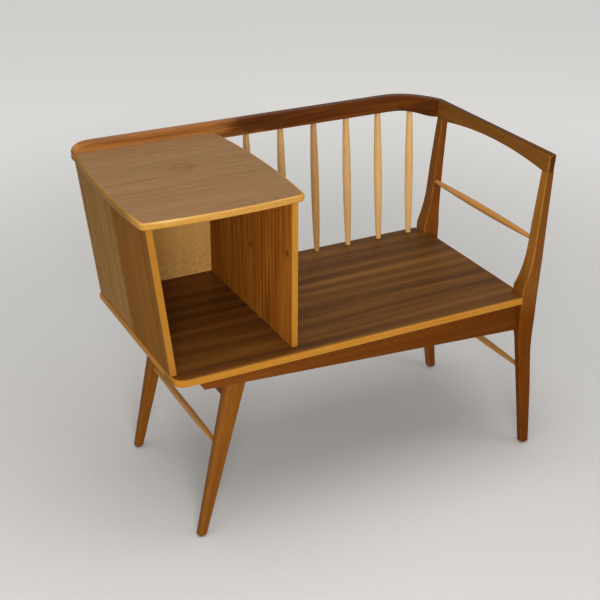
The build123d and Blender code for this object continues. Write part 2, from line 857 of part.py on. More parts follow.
def top_dowel(x, y, room):
    """A dowel between a side panel and the cabinet top, or its hole."""
    low = top_underside + dowel_depth - dowel_length - room
    high = top_underside + dowel_depth + room
    return rod((x, y, low), (x, y, high), dowel_radius + room)


def post_dowel(x, y, room):
    """A dowel that stands in a post's top, or its hole."""
    half = dowel_length / 2 + room
    return rod((x, y, arm_underside - half), (x, y, arm_underside + half), arm_dowel_radius + room)


def mitre_dowel(height, room):
    """A dowel square across the mitre between the arm and the back rail, or its hole."""
    middle_x = (mitre_inner[0] + mitre_outer[0] + arm_lean / 2) / 2
    middle_y = (mitre_inner[1] + mitre_outer[1]) / 2
    reach = (mitre_dowel_length / 2 + room) / math.hypot(1, mitre_slope)
    return rod((middle_x + reach * mitre_slope, middle_y - reach, height),
               (middle_x - reach * mitre_slope, middle_y + reach, height), arm_dowel_radius + room)


def back_pin(height, side, room):
    """A pin through the back panel into one side panel's rebate, or its hole."""
    lean = panel_slope * (height - seat_height)
    x = left_panel_outer + panel_run - rebate_width / 2 - lean
    if side > 0:
        x = right_panel_inner + rebate_width / 2
    return rod((x, back_edge, height), (x, back_edge - pin_length - room, height),
               pin_radius + room)


def pairs(maker, places):
    """The pieces made at some places, and their holes with the fixing clearance."""
    pieces = [maker(*place, 0.0) for place in places]
    return pieces, [maker(*place, fixing_clearance) for place in places]


left_dowel_x = left_panel_top + panel_run / 2
right_dowel_x = right_panel_outer - panel_thickness / 2
top_dowel_places = [(x, y) for x in (left_dowel_x, right_dowel_x)
                    for y in panel_thirds]
top_dowels, top_dowel_holes = pairs(top_dowel, top_dowel_places)

post_dowel_x = post_top_inner + post_top_width / 2
post_dowel_y = front_edge + post_top_inset + post_top_depth / 2
post_dowels, post_dowel_holes = pairs(
    post_dowel, [(post_dowel_x, post_dowel_y), (post_dowel_x, -post_dowel_y - back_post_lean)])
arm_middle = (arm_underside + arm_top) / 2
mitre_dowels, mitre_dowel_holes = pairs(
    mitre_dowel, [(arm_middle - dowel_depth,), (arm_middle + dowel_depth / 2,)])

pin_heights = [seat_height + cabinet_height * share for share in pin_shares]
back_panel_pins, back_pin_holes = pairs(
    back_pin, [(height, side) for height in pin_heights for side in (-1, 1)])


def glide(x, y):
    """A domed glide under a foot, with its pin."""
    disc = Pos(x, y, 0) * Cylinder(glide_radius, glide_height, align=standing)
    disc = fillet(disc.edges().sort_by(Axis.Z)[:1], glide_dome)
    return disc + glide_pin(x, y, 0.0)


def glide_pin(x, y, room):
    """The pin of a glide, up into the foot, or its hole."""
    return rod((x, y, glide_height / 2), (x, y, glide_height + glide_pin_length + room),
               glide_pin_radius + room)


# ---------------------------------------------------------------- finished pieces
left_glide_x = leg_middle(glide_height)
front_left_leg = front_leg_blank - [
    front_apron, bearer_tenon(joint_clearance), turned_hole(*left_stretcher_form),
    leg_screw_hole, glide_pin(left_glide_x, -leg_line, fixing_clearance)]
front_post_cuts = [
    apron_tenon(joint_clearance), side_rail_tenon(joint_clearance),
    turned_hole(*right_stretcher_form), turned_hole(*arm_spindle_form),
    glide_pin(post_foot_x, -post_line, fixing_clearance)]
front_right_post = front_post_blank - front_post_cuts - post_dowel_holes[0]
back_right_post = back_half(back_post_form - front_post_cuts) - post_dowel_holes[1]

apron_with_holes = front_apron - leg_screw_hole
front_corner_block = corner_block_form() - board_screw_holes[2]
glue_blocks = [glue_block(x) - board_screw_holes[:2] for x in glue_block_places]

board_holes = spindle_holes + board_screw_holes + panel_screw_holes
finished_board = seat_board - board_holes
finished_left_panel = cabinet_left_panel - panel_screw_holes - top_dowel_holes - back_pin_holes
finished_right_panel = cabinet_right_panel - panel_screw_holes - top_dowel_holes - back_pin_holes
finished_back_panel = cabinet_back_panel - back_pin_holes
finished_top = cabinet_top - top_dowel_holes - rail_screw_holes

back_rail = rail_blank - spindle_holes - rail_screw_holes - mitre_dowel_holes
arm_rail = arm_rail_blank - post_dowel_holes - mitre_dowel_holes

# ---------------------------------------------------------------- assembly
nodes = {
    "seat_board": [finished_board],
    "seat_front_lipping": [seat_front_lipping],
    "seat_left_lipping": [seat_left_lipping],
    "front_apron": [apron_with_holes],
    "rear_apron": [back_half(apron_with_holes)],
    "right_side_rail": [right_side_rail],
    "cross_bearer": [cross_bearer],
    "front_left_leg": [front_left_leg],
    "back_left_leg": [back_half(front_left_leg)],
    "front_right_post": [front_right_post],
    "back_right_post": [back_right_post],
    "left_stretcher": [left_stretcher],
    "right_stretcher": [right_stretcher],
    "arm_spindle": [arm_spindle],
    "arm_rail": [arm_rail],
    "back_rail": [back_rail],
    "cabinet_left_panel": [finished_left_panel],
    "cabinet_left_lipping": [cabinet_left_lipping],
    "cabinet_right_panel": [finished_right_panel],
    "cabinet_right_lipping": [cabinet_right_lipping],
    "cabinet_back_panel": [finished_back_panel],
    "cabinet_top": [finished_top],
    "cabinet_top_lipping": [cabinet_top_lipping],
    "front_corner_block": [front_corner_block],
    "rear_corner_block": [back_half(front_corner_block)],
    "glue_blocks": both_halves(glue_blocks) + [rail_block()],
    "board_screws": board_screws,
    "leg_screws": leg_screws,
    "panel_screws": panel_screws,
    "rail_screws": rail_screws,
    "top_dowels": top_dowels,
    "arm_dowels": post_dowels + mitre_dowels,
    "back_panel_pins": back_panel_pins,
    "front_left_glide": [glide(left_glide_x, -leg_line)],
    "back_left_glide": [glide(left_glide_x, leg_line)],
    "front_right_glide": [glide(post_foot_x, -post_line)],
    "back_right_glide": [glide(post_foot_x, post_line)],
}
for index, spindle in enumerate(spindles):
    nodes[f"back_spindle_{index + 1}"] = [spindle]

pieces = [solid for shapes in nodes.values() for shape in shapes for solid in shape.solids()]
whole = Compound(children=pieces).bounding_box()
to_origin = Pos(-whole.center().X, -whole.center().Y, -whole.min.Z)

os.makedirs("parts", exist_ok=True)
for name, shapes in nodes.items():
    solids = [to_origin * solid for shape in shapes for solid in shape.solids()]
    piece = solids[0] if len(solids) == 1 else Compound(children=solids)
    export_step(piece, f"parts/{name}.step")
print("nodes", len(nodes), "solids", len(pieces), "size", whole.size)
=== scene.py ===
"""A telephone bench: veneered seat, open cabinet, spindle back and one raised arm."""

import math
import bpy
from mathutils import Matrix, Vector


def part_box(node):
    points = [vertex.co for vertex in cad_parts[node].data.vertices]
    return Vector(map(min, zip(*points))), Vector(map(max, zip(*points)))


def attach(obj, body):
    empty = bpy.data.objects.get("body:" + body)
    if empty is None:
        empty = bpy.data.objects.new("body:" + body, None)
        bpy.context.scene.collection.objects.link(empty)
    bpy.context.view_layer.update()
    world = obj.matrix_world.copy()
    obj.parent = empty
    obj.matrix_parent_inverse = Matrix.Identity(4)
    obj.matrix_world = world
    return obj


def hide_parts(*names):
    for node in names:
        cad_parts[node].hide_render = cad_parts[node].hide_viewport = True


bl_info = {
    "name": "Telephone Bench",
    "version": (1, 0, 0),
    "blender": (4, 5, 0),
    "location": "3D View > Sidebar > Bench",
    "description": "Finishes and turned pieces of a telephone bench, built round its frame",
    "category": "Object",
}

import bmesh
import bpy
from bpy.props import FloatProperty, FloatVectorProperty, IntProperty, PointerProperty
from bpy.types import Operator, Panel, PropertyGroup
from mathutils import Matrix, Vector

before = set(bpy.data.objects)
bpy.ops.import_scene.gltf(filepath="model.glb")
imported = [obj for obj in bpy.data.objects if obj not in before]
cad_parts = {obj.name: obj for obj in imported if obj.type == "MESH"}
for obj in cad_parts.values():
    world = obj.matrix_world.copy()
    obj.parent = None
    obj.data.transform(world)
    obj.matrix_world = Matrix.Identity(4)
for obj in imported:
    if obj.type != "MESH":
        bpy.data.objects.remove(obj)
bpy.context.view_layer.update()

BODY = "root"
MERGED = 0.00001
END_RING = 0.0002
LIP_EASE = 0.0003
X_GRAIN = (0.0, 0.0, 0.0)
Y_GRAIN = (0.0, 0.0, math.radians(-90))
Z_GRAIN = (0.0, math.radians(90), 0.0)
LEG_GRAIN = (0.0, math.radians(76.9), 0.0)
PANEL_GRAIN = (0.0, math.radians(96.3), 0.0)
LEFT, FRONT = (-1.0, 0.0, 0.0), (0.0, -1.0, 0.0)
UP, DOWN = (0.0, 0.0, 1.0), (0.0, 0.0, -1.0)

CAMERA_PLACE = (-1.10996, -2.0874, 1.5625)
CAMERA_YAW, CAMERA_PITCH, CAMERA_ROLL = (math.radians(turn) for turn in (27.37, 26.62, -0.34))


# ---------- settings
def paint(code):
    """A colour written as red, green and blue bytes, in linear light."""
    shares = [(code >> shift & 255) / 255 for shift in (16, 8, 0)]
    return [s / 12.92 if s <= 0.04045 else ((s + 0.055) / 1.055) ** 2.4 for s in shares]


def colour(name, description, code):
    return FloatVectorProperty(name=name, description=description, subtype="COLOR",
                               size=3, min=0.0, max=1.0, default=paint(code))


def length(name, description, default):
    return FloatProperty(name=name, description=description, subtype="DISTANCE",
                         unit="LENGTH", min=0.0, default=default)


def share(name, description, default):
    return FloatProperty(name=name, description=description, subtype="FACTOR",
                         min=0.0, max=1.0, default=default)


def power(name, description, default):
    return FloatProperty(name=name, description=description, unit="POWER", min=0.0,
                         default=default)


def wood_look(wood, figure, colours, streak, wander, contrast, pores, lines, roughness,
              gloss=0.0, coat=0.0, fibre=0.5, ribbon=0.0, ribbon_width=0.02):
    """The settings of one timber's finish, as the annotations of its property group."""
    dark, middle, light = colours
    return {
        "dark": colour("Dark streak", f"Darkest {figure} of the {wood}", dark),
        "middle": colour("Ground", f"Ground colour of the {wood}", middle),
        "light": colour("Light streak", f"Lightest {figure} of the {wood}", light),
        "streak": length("Streak width", "Width of one streak across the grain", streak),
        "contrast": share("Figure", "Strength of the streaks and the broad figure", contrast),
        "ribbon": share("Ribbon", "Strength of the regular ribbon stripes", ribbon),
        "ribbon_width": length("Ribbon width", "Width of one ribbon stripe", ribbon_width),
        "wander": length("Wander", "How far the streaks drift off straight", wander),
        "pores": share("Pores", "Darkness of the open pores", pores),
        "lines": share("Fine lines", "Darkness of the thin dark lines along the grain", lines),
        "fibre": share("Fibre", "Strength of the fine fibre", fibre),
        "roughness": share("Roughness", "Roughness of the finish", roughness),
        "coat": share("Lacquer", "Strength of the lacquer's gloss", coat),
        "gloss": share("Gloss", "Strength of the reflection of the bare finish", gloss),
    }


class SeatVeneer(PropertyGroup):
    __annotations__ = wood_look(
        "seat veneer", "streaks", (0x432711, 0x67421C, 0x90602C), streak=0.03, wander=0.016,
        contrast=0.72, pores=0.35, lines=0.14, roughness=0.42, gloss=0.05, ribbon=0.25,
        ribbon_width=0.045)


class TopVeneer(PropertyGroup):
    __annotations__ = wood_look(
        "top veneer", "lines", (0x785736, 0x946F49, 0xA48155), streak=0.007, wander=0.008,
        contrast=0.4, pores=0.30, lines=0.45, roughness=0.5, gloss=0.08, ribbon=0.06)


class PanelVeneer(PropertyGroup):
    __annotations__ = wood_look(
        "left panel's veneer", "stripes", (0x825F39, 0xA1794A, 0xB49060), streak=0.016,
        wander=0.004, contrast=0.5, pores=0.3, lines=0.25, roughness=0.45, ribbon=0.25,
        ribbon_width=0.024)


class StripeVeneer(PropertyGroup):
    __annotations__ = wood_look(
        "right panel's veneer", "stripes", (0x86490F, 0xB46A22, 0xD28C38), streak=0.0065,
        wander=0.003, contrast=0.74, pores=0.3, lines=0.3, roughness=0.45, fibre=0.4,
        ribbon=0.22, ribbon_width=0.016)


class LippingWood(PropertyGroup):
    __annotations__ = wood_look(
        "lipping", "lines", (0xAA7022, 0xB87C2C, 0xC68C3C), streak=0.004, wander=0.004,
        contrast=0.4, pores=0.2, lines=0.1, roughness=0.36, gloss=0.03, coat=0.03, fibre=0.4)


class FrameWood(PropertyGroup):
    __annotations__ = wood_look(
        "frame timber", "lines", (0x5E3410, 0x804E1B, 0x98652A), streak=0.012, wander=0.01,
        contrast=0.3, pores=0.25, lines=0.18, roughness=0.4, gloss=0.05, ribbon=0.1,
        ribbon_width=0.015)


class RailWood(PropertyGroup):
    __annotations__ = wood_look(
        "back rail", "lines", (0x35180A, 0x5E300E, 0x80481A), streak=0.014, wander=0.02,
        contrast=0.6, pores=0.35, lines=0.3, roughness=0.3, gloss=0.05, coat=0.07, ribbon=0.1)


class TurnedWood(PropertyGroup):
    __annotations__ = wood_look(
        "turned pieces", "lines", (0xB58647, 0xCBA066, 0xD8B27C), streak=0.006, wander=0.003,
        contrast=0.35, pores=0.25, lines=0.2, roughness=0.38, gloss=0.25, coat=0.05, fibre=0.4)


class PlyFace(PropertyGroup):
    __annotations__ = wood_look(
        "back panel", "figure", (0xB48847, 0xD29E58, 0xE0B26C), streak=0.03, wander=0.03,
        contrast=0.35, pores=0.05, lines=0.0, roughness=0.6, fibre=0.12)


class BlockWood(PropertyGroup):
    __annotations__ = wood_look(
        "hidden blocks", "lines", (0x9A7A50, 0xB8996C, 0xC9AE84), streak=0.006, wander=0.006,
        contrast=0.5, pores=0.2, lines=0.2, roughness=0.7, gloss=0.15)


class StageLook(PropertyGroup):
    floor: colour("Floor", "Colour of the plain floor", 0xE0DEDA)
    floor_size: length("Floor size", "Length of the floor's side", 80.0)
    far_glow: share("Far floor", "Lift of the distant floor, to the eye and in reflections", 0.5)
    backdrop: share("Backdrop", "Paleness beyond the floor, to the eye and in reflections", 0.62)
    world: share("Ambient light", "Strength of the even light from all round", 0.28)
    key: power("Key light", "Power of the soft light from the front left", 52.0)
    top: power("Top light", "Power of the wide light from above", 38.0)
    fill: power("Fill light", "Power of the light from the right", 10.0)
    lens: FloatProperty(name="Lens", description="Focal length of the camera",
                        unit="CAMERA", min=1.0, default=72.21)


class ScrewSizes(PropertyGroup):
    head: length("Head radius", "Radius of the countersunk head", 0.0036)
    head_height: length("Head height", "Height of the countersunk head", 0.0026)
    shank: length("Shank radius", "Radius over the crests of the thread", 0.0018)
    groove: length("Thread depth", "Depth of the thread's grooves", 0.0004)
    pitch: length("Thread pitch", "Distance from one groove to the next", 0.0016)
    point: length("Point", "Length of the tapered point", 0.005)
    slot_width: length("Slot width", "Width of the slot in the head", 0.0008)
    slot_depth: length("Slot depth", "Depth of the slot in the head", 0.0013)


class GlideSizes(PropertyGroup):
    disc: length("Disc radius", "Radius of a glide's disc", 0.006)
    height: length("Disc height", "Height of a glide's disc", 0.003)
    dome: length("Dome", "Height of the rounded bottom edge", 0.0018)
    pin: length("Pin radius", "Radius of a glide's pin", 0.0012)
    nail: length("Nail radius", "Radius of a back panel pin", 0.0007)


class SpindleSizes(PropertyGroup):
    foot: length("Foot radius", "Radius where a back spindle enters the seat", 0.006)
    belly: length("Belly radius", "Radius at the middle of a back spindle", 0.0095)
    neck: length("Neck radius", "Radius where a back spindle enters the rail", 0.0065)
    tenon: length("Tenon", "Length of the straight end in its socket", 0.009)
    sides: IntProperty(name="Sides", description="Faces round a turned piece", min=8, default=32)
    rings: IntProperty(name="Rings", description="Sections along a turned piece", min=4, default=40)


class StretcherSizes(PropertyGroup):
    end: length("End radius", "Radius where a stretcher enters a leg", 0.0045)
    belly: length("Belly radius", "Radius at the middle of a stretcher", 0.0075)
    arm_belly: length("Arm spindle belly", "Radius at the middle of the arm's spindle", 0.0082)
    tenon: length("Tenon", "Length of the straight end in its socket", 0.009)


PARTS = {
    "seat_veneer": SeatVeneer, "top_veneer": TopVeneer, "panel_veneer": PanelVeneer,
    "stripe_veneer": StripeVeneer, "lipping": LippingWood, "frame_wood": FrameWood,
    "rail_wood": RailWood, "turned_wood": TurnedWood, "plywood": PlyFace,
    "block_wood": BlockWood, "stage": StageLook, "spindles": SpindleSizes,
    "stretchers": StretcherSizes, "screws": ScrewSizes, "glides": GlideSizes,
}


class BenchSettings(PropertyGroup):
    __annotations__ = {part: PointerProperty(type=group) for part, group in PARTS.items()}


# ---------- nodes
class Nodes:
    """A node tree, with short ways to add its nodes."""

    prefix = "ShaderNode"

    def __init__(self, tree):
        self.tree = tree

    def give(self, node, feeds):
        """Links sockets to a node's inputs, and sets the inputs that are plain values."""
        for key, value in feeds.items():
            if isinstance(value, bpy.types.NodeSocket):
                self.tree.links.new(value, node.inputs[key])
            else:
                node.inputs[key].default_value = value

    def node(self, kind, feeds=None, **settings):
        """A new node; a kind without the word Node takes the tree's prefix."""
        made = self.tree.nodes.new(kind if "Node" in kind else self.prefix + kind)
        for key, value in settings.items():
            setattr(made, key, value)
        self.give(made, feeds or {})
        return made

    def maths(self, operation, *values, clamp=False):
        return self.node("ShaderNodeMath", dict(enumerate(values)), operation=operation,
                         use_clamp=clamp).outputs[0]

    def times(self, first, second):
        return self.maths("MULTIPLY", first, second)


class Shading(Nodes):
    """A material's node tree, round its Principled shader."""

    def __init__(self, name):
        self.material = bpy.data.materials.new(name)
        self.material.use_nodes = True
        super().__init__(self.material.node_tree)
        self.shader = self.tree.nodes["Principled BSDF"]
        coordinates = self.node("TexCoord").outputs
        self.here, self.normal = coordinates["Object"], coordinates["Normal"]

    def vector(self, operation, *values):
        made = self.node("VectorMath", dict(enumerate(values)), operation=operation)
        return made.outputs["Value" if operation in ("LENGTH", "DOT_PRODUCT") else "Vector"]

    def noise(self, place, width, detail=2.0, rough=0.5):
        """Even noise whose patches are about one width across, around 0.5."""
        return self.node("TexNoise", {"Vector": place, "Scale": 1.0 / width, "Detail": detail,
                                      "Roughness": rough}).outputs["Fac"]

    def between(self, value, low, high, to_low=0.0, to_high=1.0, smooth=False):
        kind = "SMOOTHSTEP" if smooth else "LINEAR"
        feeds = {"Value": value, "From Min": low, "From Max": high,
                 "To Min": to_low, "To Max": to_high}
        return self.node("MapRange", feeds, interpolation_type=kind).outputs["Result"]

    def mix(self, factor, under, over, blend="MIX"):
        feeds = {"Factor": factor, 6: under, 7: over}
        made = self.node("Mix", feeds, data_type="RGBA", blend_type=blend)
        return made.outputs[2]

    def turned(self, rotation, shift=(0.0, 0.0, 0.0)):
        """Object coordinates, turned so that the grain runs along X."""
        return self.node("Mapping", {"Vector": self.here, "Rotation": rotation,
                                     "Location": shift}).outputs[0]

    def along(self, axis):
        """One coordinate of the object's own space."""
        return self.node("SeparateXYZ", {"Vector": self.here}).outputs[axis]

    def facing(self, direction, low=0.5, high=0.9):
        """0 where the surface faces away from a direction, and 1 where it faces along it."""
        return self.between(self.vector("DOT_PRODUCT", self.normal, direction), low, high)

    def spot(self, centre, reach, soft=0.5):
        """1 at a centre, falling to 0 at a reach along each axis."""
        scaled = self.vector("DIVIDE", self.vector("SUBTRACT", self.here, centre), reach)
        distance = self.vector("LENGTH", scaled)
        return self.between(distance, 1.0 - soft, 1.0, 1.0, 0.0, smooth=True)

    def tint(self, factor, tint):
        """Multiplies the base colour by a tint where the factor says so."""
        tinted = self.mix(1.0, self.base, rgba(tint), "MULTIPLY")
        self.base = self.mix(factor, self.base, tinted)

    def cover(self, factor, over):
        """Lays a colour over the base colour where the factor says so."""
        self.base = self.mix(factor, self.base, rgba(over))

    def finished(self, looks, height, strength, depth):
        """Feeds the shader, adds a fine relief and hands over the material."""
        relief = self.node("Bump", {"Height": height, "Strength": strength, "Distance": depth})
        self.give(self.shader, {"Base Color": self.base, "Normal": relief.outputs[0], **looks})
        return self.material


def rgba(values):
    return (*values, 1.0)


def grain_direction(grain):
    """The direction of the grain in the object's own space."""
    turn = Matrix.Rotation(grain[2], 3, "Z") @ Matrix.Rotation(grain[1], 3, "Y")
    return tuple(turn.transposed() @ Vector((1.0, 0.0, 0.0)))


# ---------- materials
def timber(name, look, grain, shift=(0.0, 0.0, 0.0), tone=(1.0, 1.0, 1.0),
           end_grain=(0.6, 0.6, 0.6), wear=0.25, marks=None):
    """A timber: streaks, ribbons, lines, fibre, pores, end grain and rubbed edges."""
    s = Shading(name)
    dark, middle, light = [[c * t for c, t in zip(stop, tone)]
                           for stop in (look.dark, look.middle, look.light)]
    along = s.turned(grain, shift)
    slow = s.vector("MULTIPLY", along, (1.6, 6.0, 6.0))
    drift = s.node("TexNoise", {"Vector": slow, "Scale": 1.0, "Detail": 1.0}).outputs["Color"]
    drift = s.vector("SUBTRACT", drift, (0.5, 0.5, 0.5))
    drift = s.vector("MULTIPLY", drift, (0.0, look.wander * 2, look.wander * 2))
    wandering = s.vector("ADD", along, drift)
    stretched = s.vector("MULTIPLY", wandering, (0.03, 1.0, 1.0))
    broad = s.noise(s.vector("MULTIPLY", wandering, (0.12, 1.0, 1.0)), look.streak * 7)
    streaks = s.noise(stretched, look.streak, 4.0, 0.62)
    blend = s.maths("ADD", s.times(streaks, 0.72), s.times(broad, 0.28))
    if look.ribbon > 0:
        band = s.node("TexWave", {"Vector": stretched, "Scale": 0.314 / look.ribbon_width,
                                  "Distortion": 1.6, "Detail": 2.0, "Detail Scale": 1.2},
                      bands_direction="Y").outputs["Fac"]
        lift = s.times(s.maths("SUBTRACT", band, 0.5), look.ribbon * 0.34)
        blend = s.maths("ADD", blend, lift)
    half_range = 0.16 / max(look.contrast, 0.05)
    ramp = s.node("ValToRGB", {"Fac": s.between(blend, 0.5 - half_range, 0.5 + half_range)})
    stops = ramp.color_ramp.elements
    stops[0].color, stops[1].color = rgba(dark), rgba(light)
    stops.new(0.5).color = rgba(middle)

    fibre = s.noise(s.vector("MULTIPLY", along, (0.02, 1.0, 1.0)), 0.0011, 2.0, 0.6)
    fibre_tint = s.between(fibre, 0.3, 0.7, 1.0 - look.fibre * 0.22, 1.0 + look.fibre * 0.2)
    s.base = s.mix(1.0, ramp.outputs["Color"], fibre_tint, "MULTIPLY")
    pore = s.noise(s.vector("MULTIPLY", along, (0.07, 1.0, 1.0)), 0.0008, 1.0)
    pore_depth = s.times(s.between(pore, 0.60, 0.70), look.pores)
    s.cover(pore_depth, [c * 0.35 for c in dark])
    if look.lines > 0:
        line = s.noise(s.vector("MULTIPLY", wandering, (0.012, 1.0, 1.0)), look.streak * 0.45)
        s.cover(s.times(s.between(line, 0.56, 0.66), look.lines), [c * 0.6 for c in dark])
    if marks:
        marks(s)

    ends = s.maths("ABSOLUTE", s.vector("DOT_PRODUCT", s.normal, grain_direction(grain)))
    s.tint(s.between(ends, 0.80, 0.96), end_grain)
    if wear:
        soft = s.node("Bevel", {"Radius": 0.0014}, samples=4).outputs["Normal"]
        true = s.node("NewGeometry").outputs["Normal"]
        edge = s.maths("SUBTRACT", 1.0, s.vector("DOT_PRODUCT", soft, true))
        patch = s.between(s.noise(s.here, 0.02, 3.0), 0.42, 0.62)
        rubbed = s.times(s.between(edge, 0.02, 0.14), s.times(patch, wear))
        s.cover(rubbed, [min(1.0, c * 1.4) for c in light])

    rough = s.between(streaks, 0.3, 0.7, look.roughness - 0.05, look.roughness + 0.05)
    height = s.maths("SUBTRACT", s.times(fibre, 0.35), pore_depth)
    return s.finished({"Roughness": s.maths("ADD", rough, s.times(pore_depth, 0.4)),
                       "Specular IOR Level": look.gloss,
                       "Specular Tint": rgba([c / max(light) for c in light]),
                       "Coat Weight": look.coat, "Coat Roughness": 0.22}, height, 0.35, 0.00025)


def painted_ridge_highlight(s, facing=(-0.707, -0.707, 0.0), tint=(1.5, 1.7, 2.3)):
    """A painted highlight along the arris that faces the room, patchy along its length."""
    patchy = s.between(s.noise(s.here, 0.03), 0.3, 0.6, 0.6, 1.0)
    # painted highlight: faces turned towards the given direction are tinted paler
    s.tint(s.times(s.facing(facing, 0.84, 0.98), patchy), tint)


def seat_painted_light_and_corner(s):
    """The seat board is painted warmer and paler at its cabinet end, a painted lift of light, and
    is darker at its far corner.
    """
    # painted light: the cabinet end of the board is lifted paler and warmer
    s.tint(s.between(s.along("X"), -0.12, -0.17, smooth=True), (1.22, 1.14, 1.07))
    s.tint(s.spot((0.40, 0.20, 0.396), (0.5, 0.22, 0.1), 0.9), (0.86, 0.88, 0.86))


def two_leaves(s):
    """The left panel's two leaves of veneer: the front one is darker and redder."""
    s.tint(s.between(s.along("Y"), 0.006, -0.004), (0.79, 0.62, 0.40))


def painted_back_shade_and_knots(s):
    """The right panel carries painted shade that deepens towards the back, and has two pin knots on
    its inner face.
    """
    # painted shade: darker towards the back of the panel
    s.tint(s.between(s.along("Y"), 0.0, 0.19, smooth=True), (0.62, 0.68, 0.66))
    for centre in ((-0.151, -0.0113, 0.5466), (-0.151, -0.1804, 0.5934)):
        s.cover(s.times(s.spot(centre, (0.03, 0.016, 0.014), 0.9), 0.4), paint(0x6E3A10))
        s.cover(s.times(s.spot(centre, (0.02, 0.0075, 0.0042), 0.8), 0.8), paint(0x4A2A10))


def ply_figure(s):
    """The back panel's face is mottled by a slanting swirl near the seat."""
    slanted = s.turned((0.0, math.radians(28), 0.0))
    swirl = s.noise(s.vector("MULTIPLY", slanted, (0.4, 1.0, 1.0)), 0.006, 3.0, 0.6)
    low = s.between(s.along("Z"), 0.55, 0.42, 0.12, 1.0, smooth=True)
    s.tint(s.times(s.between(swirl, 0.42, 0.66), low), (0.80, 0.74, 0.66))


def worn_patch(s):
    """The faint reddish patch left where something stood on the cabinet's top."""
    inside = s.spot((-0.277, 0.033, 0.7205), (0.045, 0.04, 0.3), 0.7)
    patchy = s.between(s.noise(s.here, 0.025, 3.0), 0.2, 0.65)
    s.tint(s.times(inside, patchy), (0.86, 0.74, 0.64))


def lip_painted_light_and_shade(s):
    """The top's lipping: painted shade down its left side and on its lower rounding, and a painted
    highlight at its front corner and along its upper arris.
    """
    side = s.between(s.along("Y"), -0.19, -0.12, smooth=True)
    left = s.between(s.along("X"), -0.36, -0.40, smooth=True)
    # painted shade down the left side
    s.tint(s.times(side, left), (0.55, 0.52, 0.42))
    # painted highlight at the front left corner
    s.tint(s.spot((-0.40, -0.205, 0.722), (0.05, 0.03, 0.008), 0.8), (1.25, 1.4, 2.1))
    # painted shade on the lower rounding
    s.tint(s.facing(DOWN, 0.2, 0.8), (0.66, 0.6, 0.42))
    painted_ridge_highlight(s, (-0.3, -0.55, 0.78), (1.15, 1.35, 2.0))


def far_post_painted_light(s):
    """The far post is painted paler on its left side and redder on its front, painted light and
    shade, with a painted highlight along its arris.
    """
    # painted light and shade: the left face is lifted paler and the front face shaded redder
    s.tint(s.facing(LEFT), (1.05, 1.25, 1.5))
    s.tint(s.facing(FRONT), (0.96, 0.90, 0.82))
    painted_ridge_highlight(s)


def arm_painted_light_and_shade(s):
    """The arm carries painted shade along its top and a painted highlight along its near arris."""
    # painted shade on the faces that look up
    s.tint(s.facing(UP, 0.7, 0.95), (0.48, 0.46, 0.34))
    painted_ridge_highlight(s)


def rail_painted_light_and_flame(s):
    """The back rail is painted paler and orange behind the cabinet, a painted lift of light, a dark
    flame ends that part, and its rounded left end carries a painted highlight.
    """
    swirl = s.noise(s.vector("MULTIPLY", s.here, (0.25, 1.0, 1.0)), 0.03)
    bent = s.maths("ADD", s.along("X"), s.between(swirl, 0.3, 0.7, -0.05, 0.05))
    # painted light: the part behind the cabinet is lifted paler and orange
    s.tint(s.between(bent, -0.03, -0.12, smooth=True), (3.2, 4.6, 6.6))
    s.tint(s.spot((-0.03, 0.222, 0.728), (0.15, 0.03, 0.012), 0.85), (0.68, 0.63, 0.63))
    painted_ridge_highlight(s, (-0.75, -0.25, 0.61), (1.25, 1.35, 1.5))


def post_painted_light_and_check(s):
    """A post is dark and red below the seat; above it the left face is painted paler and the front
    face darker, painted light and shade, with a painted highlight along its arris and one short
    drying check.
    """
    height = s.along("Z")
    s.tint(s.between(height, 0.42, 0.33, smooth=True), (0.67, 0.47, 0.20))
    above = s.between(height, 0.42, 0.50, smooth=True)
    # painted light and shade above the seat: paler left face, darker front face
    s.tint(s.times(above, s.facing(LEFT)), (1.5, 1.7, 1.8))
    s.tint(s.times(above, s.facing(FRONT)), (0.9, 0.86, 0.95))
    painted_ridge_highlight(s, (-0.8, -0.6, 0.0), (1.4, 1.5, 1.75))
    check = s.spot((0.426, -0.229, 0.253), (0.013, 0.004, 0.0018), 0.6)
    s.cover(s.times(check, 0.7), paint(0x3A1C08))


def leg_painted_highlight(s):
    """A left leg's outer rounding carries a painted highlight along its whole length."""
    painted_ridge_highlight(s, (-0.60, -0.79, 0.13), (1.08, 1.2, 1.8))


def apron_figure(s):
    """The front apron deepens in colour to the right, with a pale knot close to the post."""
    along = s.along("X")
    s.tint(s.between(along, -0.10, -0.24, smooth=True), (1.2, 1.22, 1.22))
    s.tint(s.between(along, -0.10, 0.34), (0.83, 0.76, 0.48))
    knot = s.spot((0.401, -0.217, 0.3252), (0.007, 0.01, 0.009), 0.6)
    s.cover(s.times(knot, 0.55), paint(0x9A7434))


def spindle_tones(s):
    """The back spindles get paler towards the arm, and the third is darker."""
    along = s.along("X")
    s.tint(s.between(along, 0.05, 0.36), (1.35, 1.38, 1.4))
    away = s.maths("ABSOLUTE", s.maths("SUBTRACT", along, 0.095))
    s.tint(s.between(away, 0.02, 0.03, 1.0, 0.0), (0.76, 0.7, 0.62))


def metal(name, code, roughness):
    """Worn zinc-plated steel with dull patches and dark specks."""
    s = Shading(name)
    patches = s.noise(s.here, 0.004, 3.0)
    s.base = s.mix(s.between(patches, 0.35, 0.65), rgba(paint(code)),
                   rgba([c * 0.55 for c in paint(code)]))
    specks = s.between(s.noise(s.here, 0.0008), 0.62, 0.7)
    s.cover(specks, paint(0x2A1D14))
    rough = s.between(patches, 0.3, 0.7, roughness - 0.1, roughness + 0.15)
    return s.finished({"Roughness": rough, "Metallic": 1.0}, specks, 0.2, 0.0002)


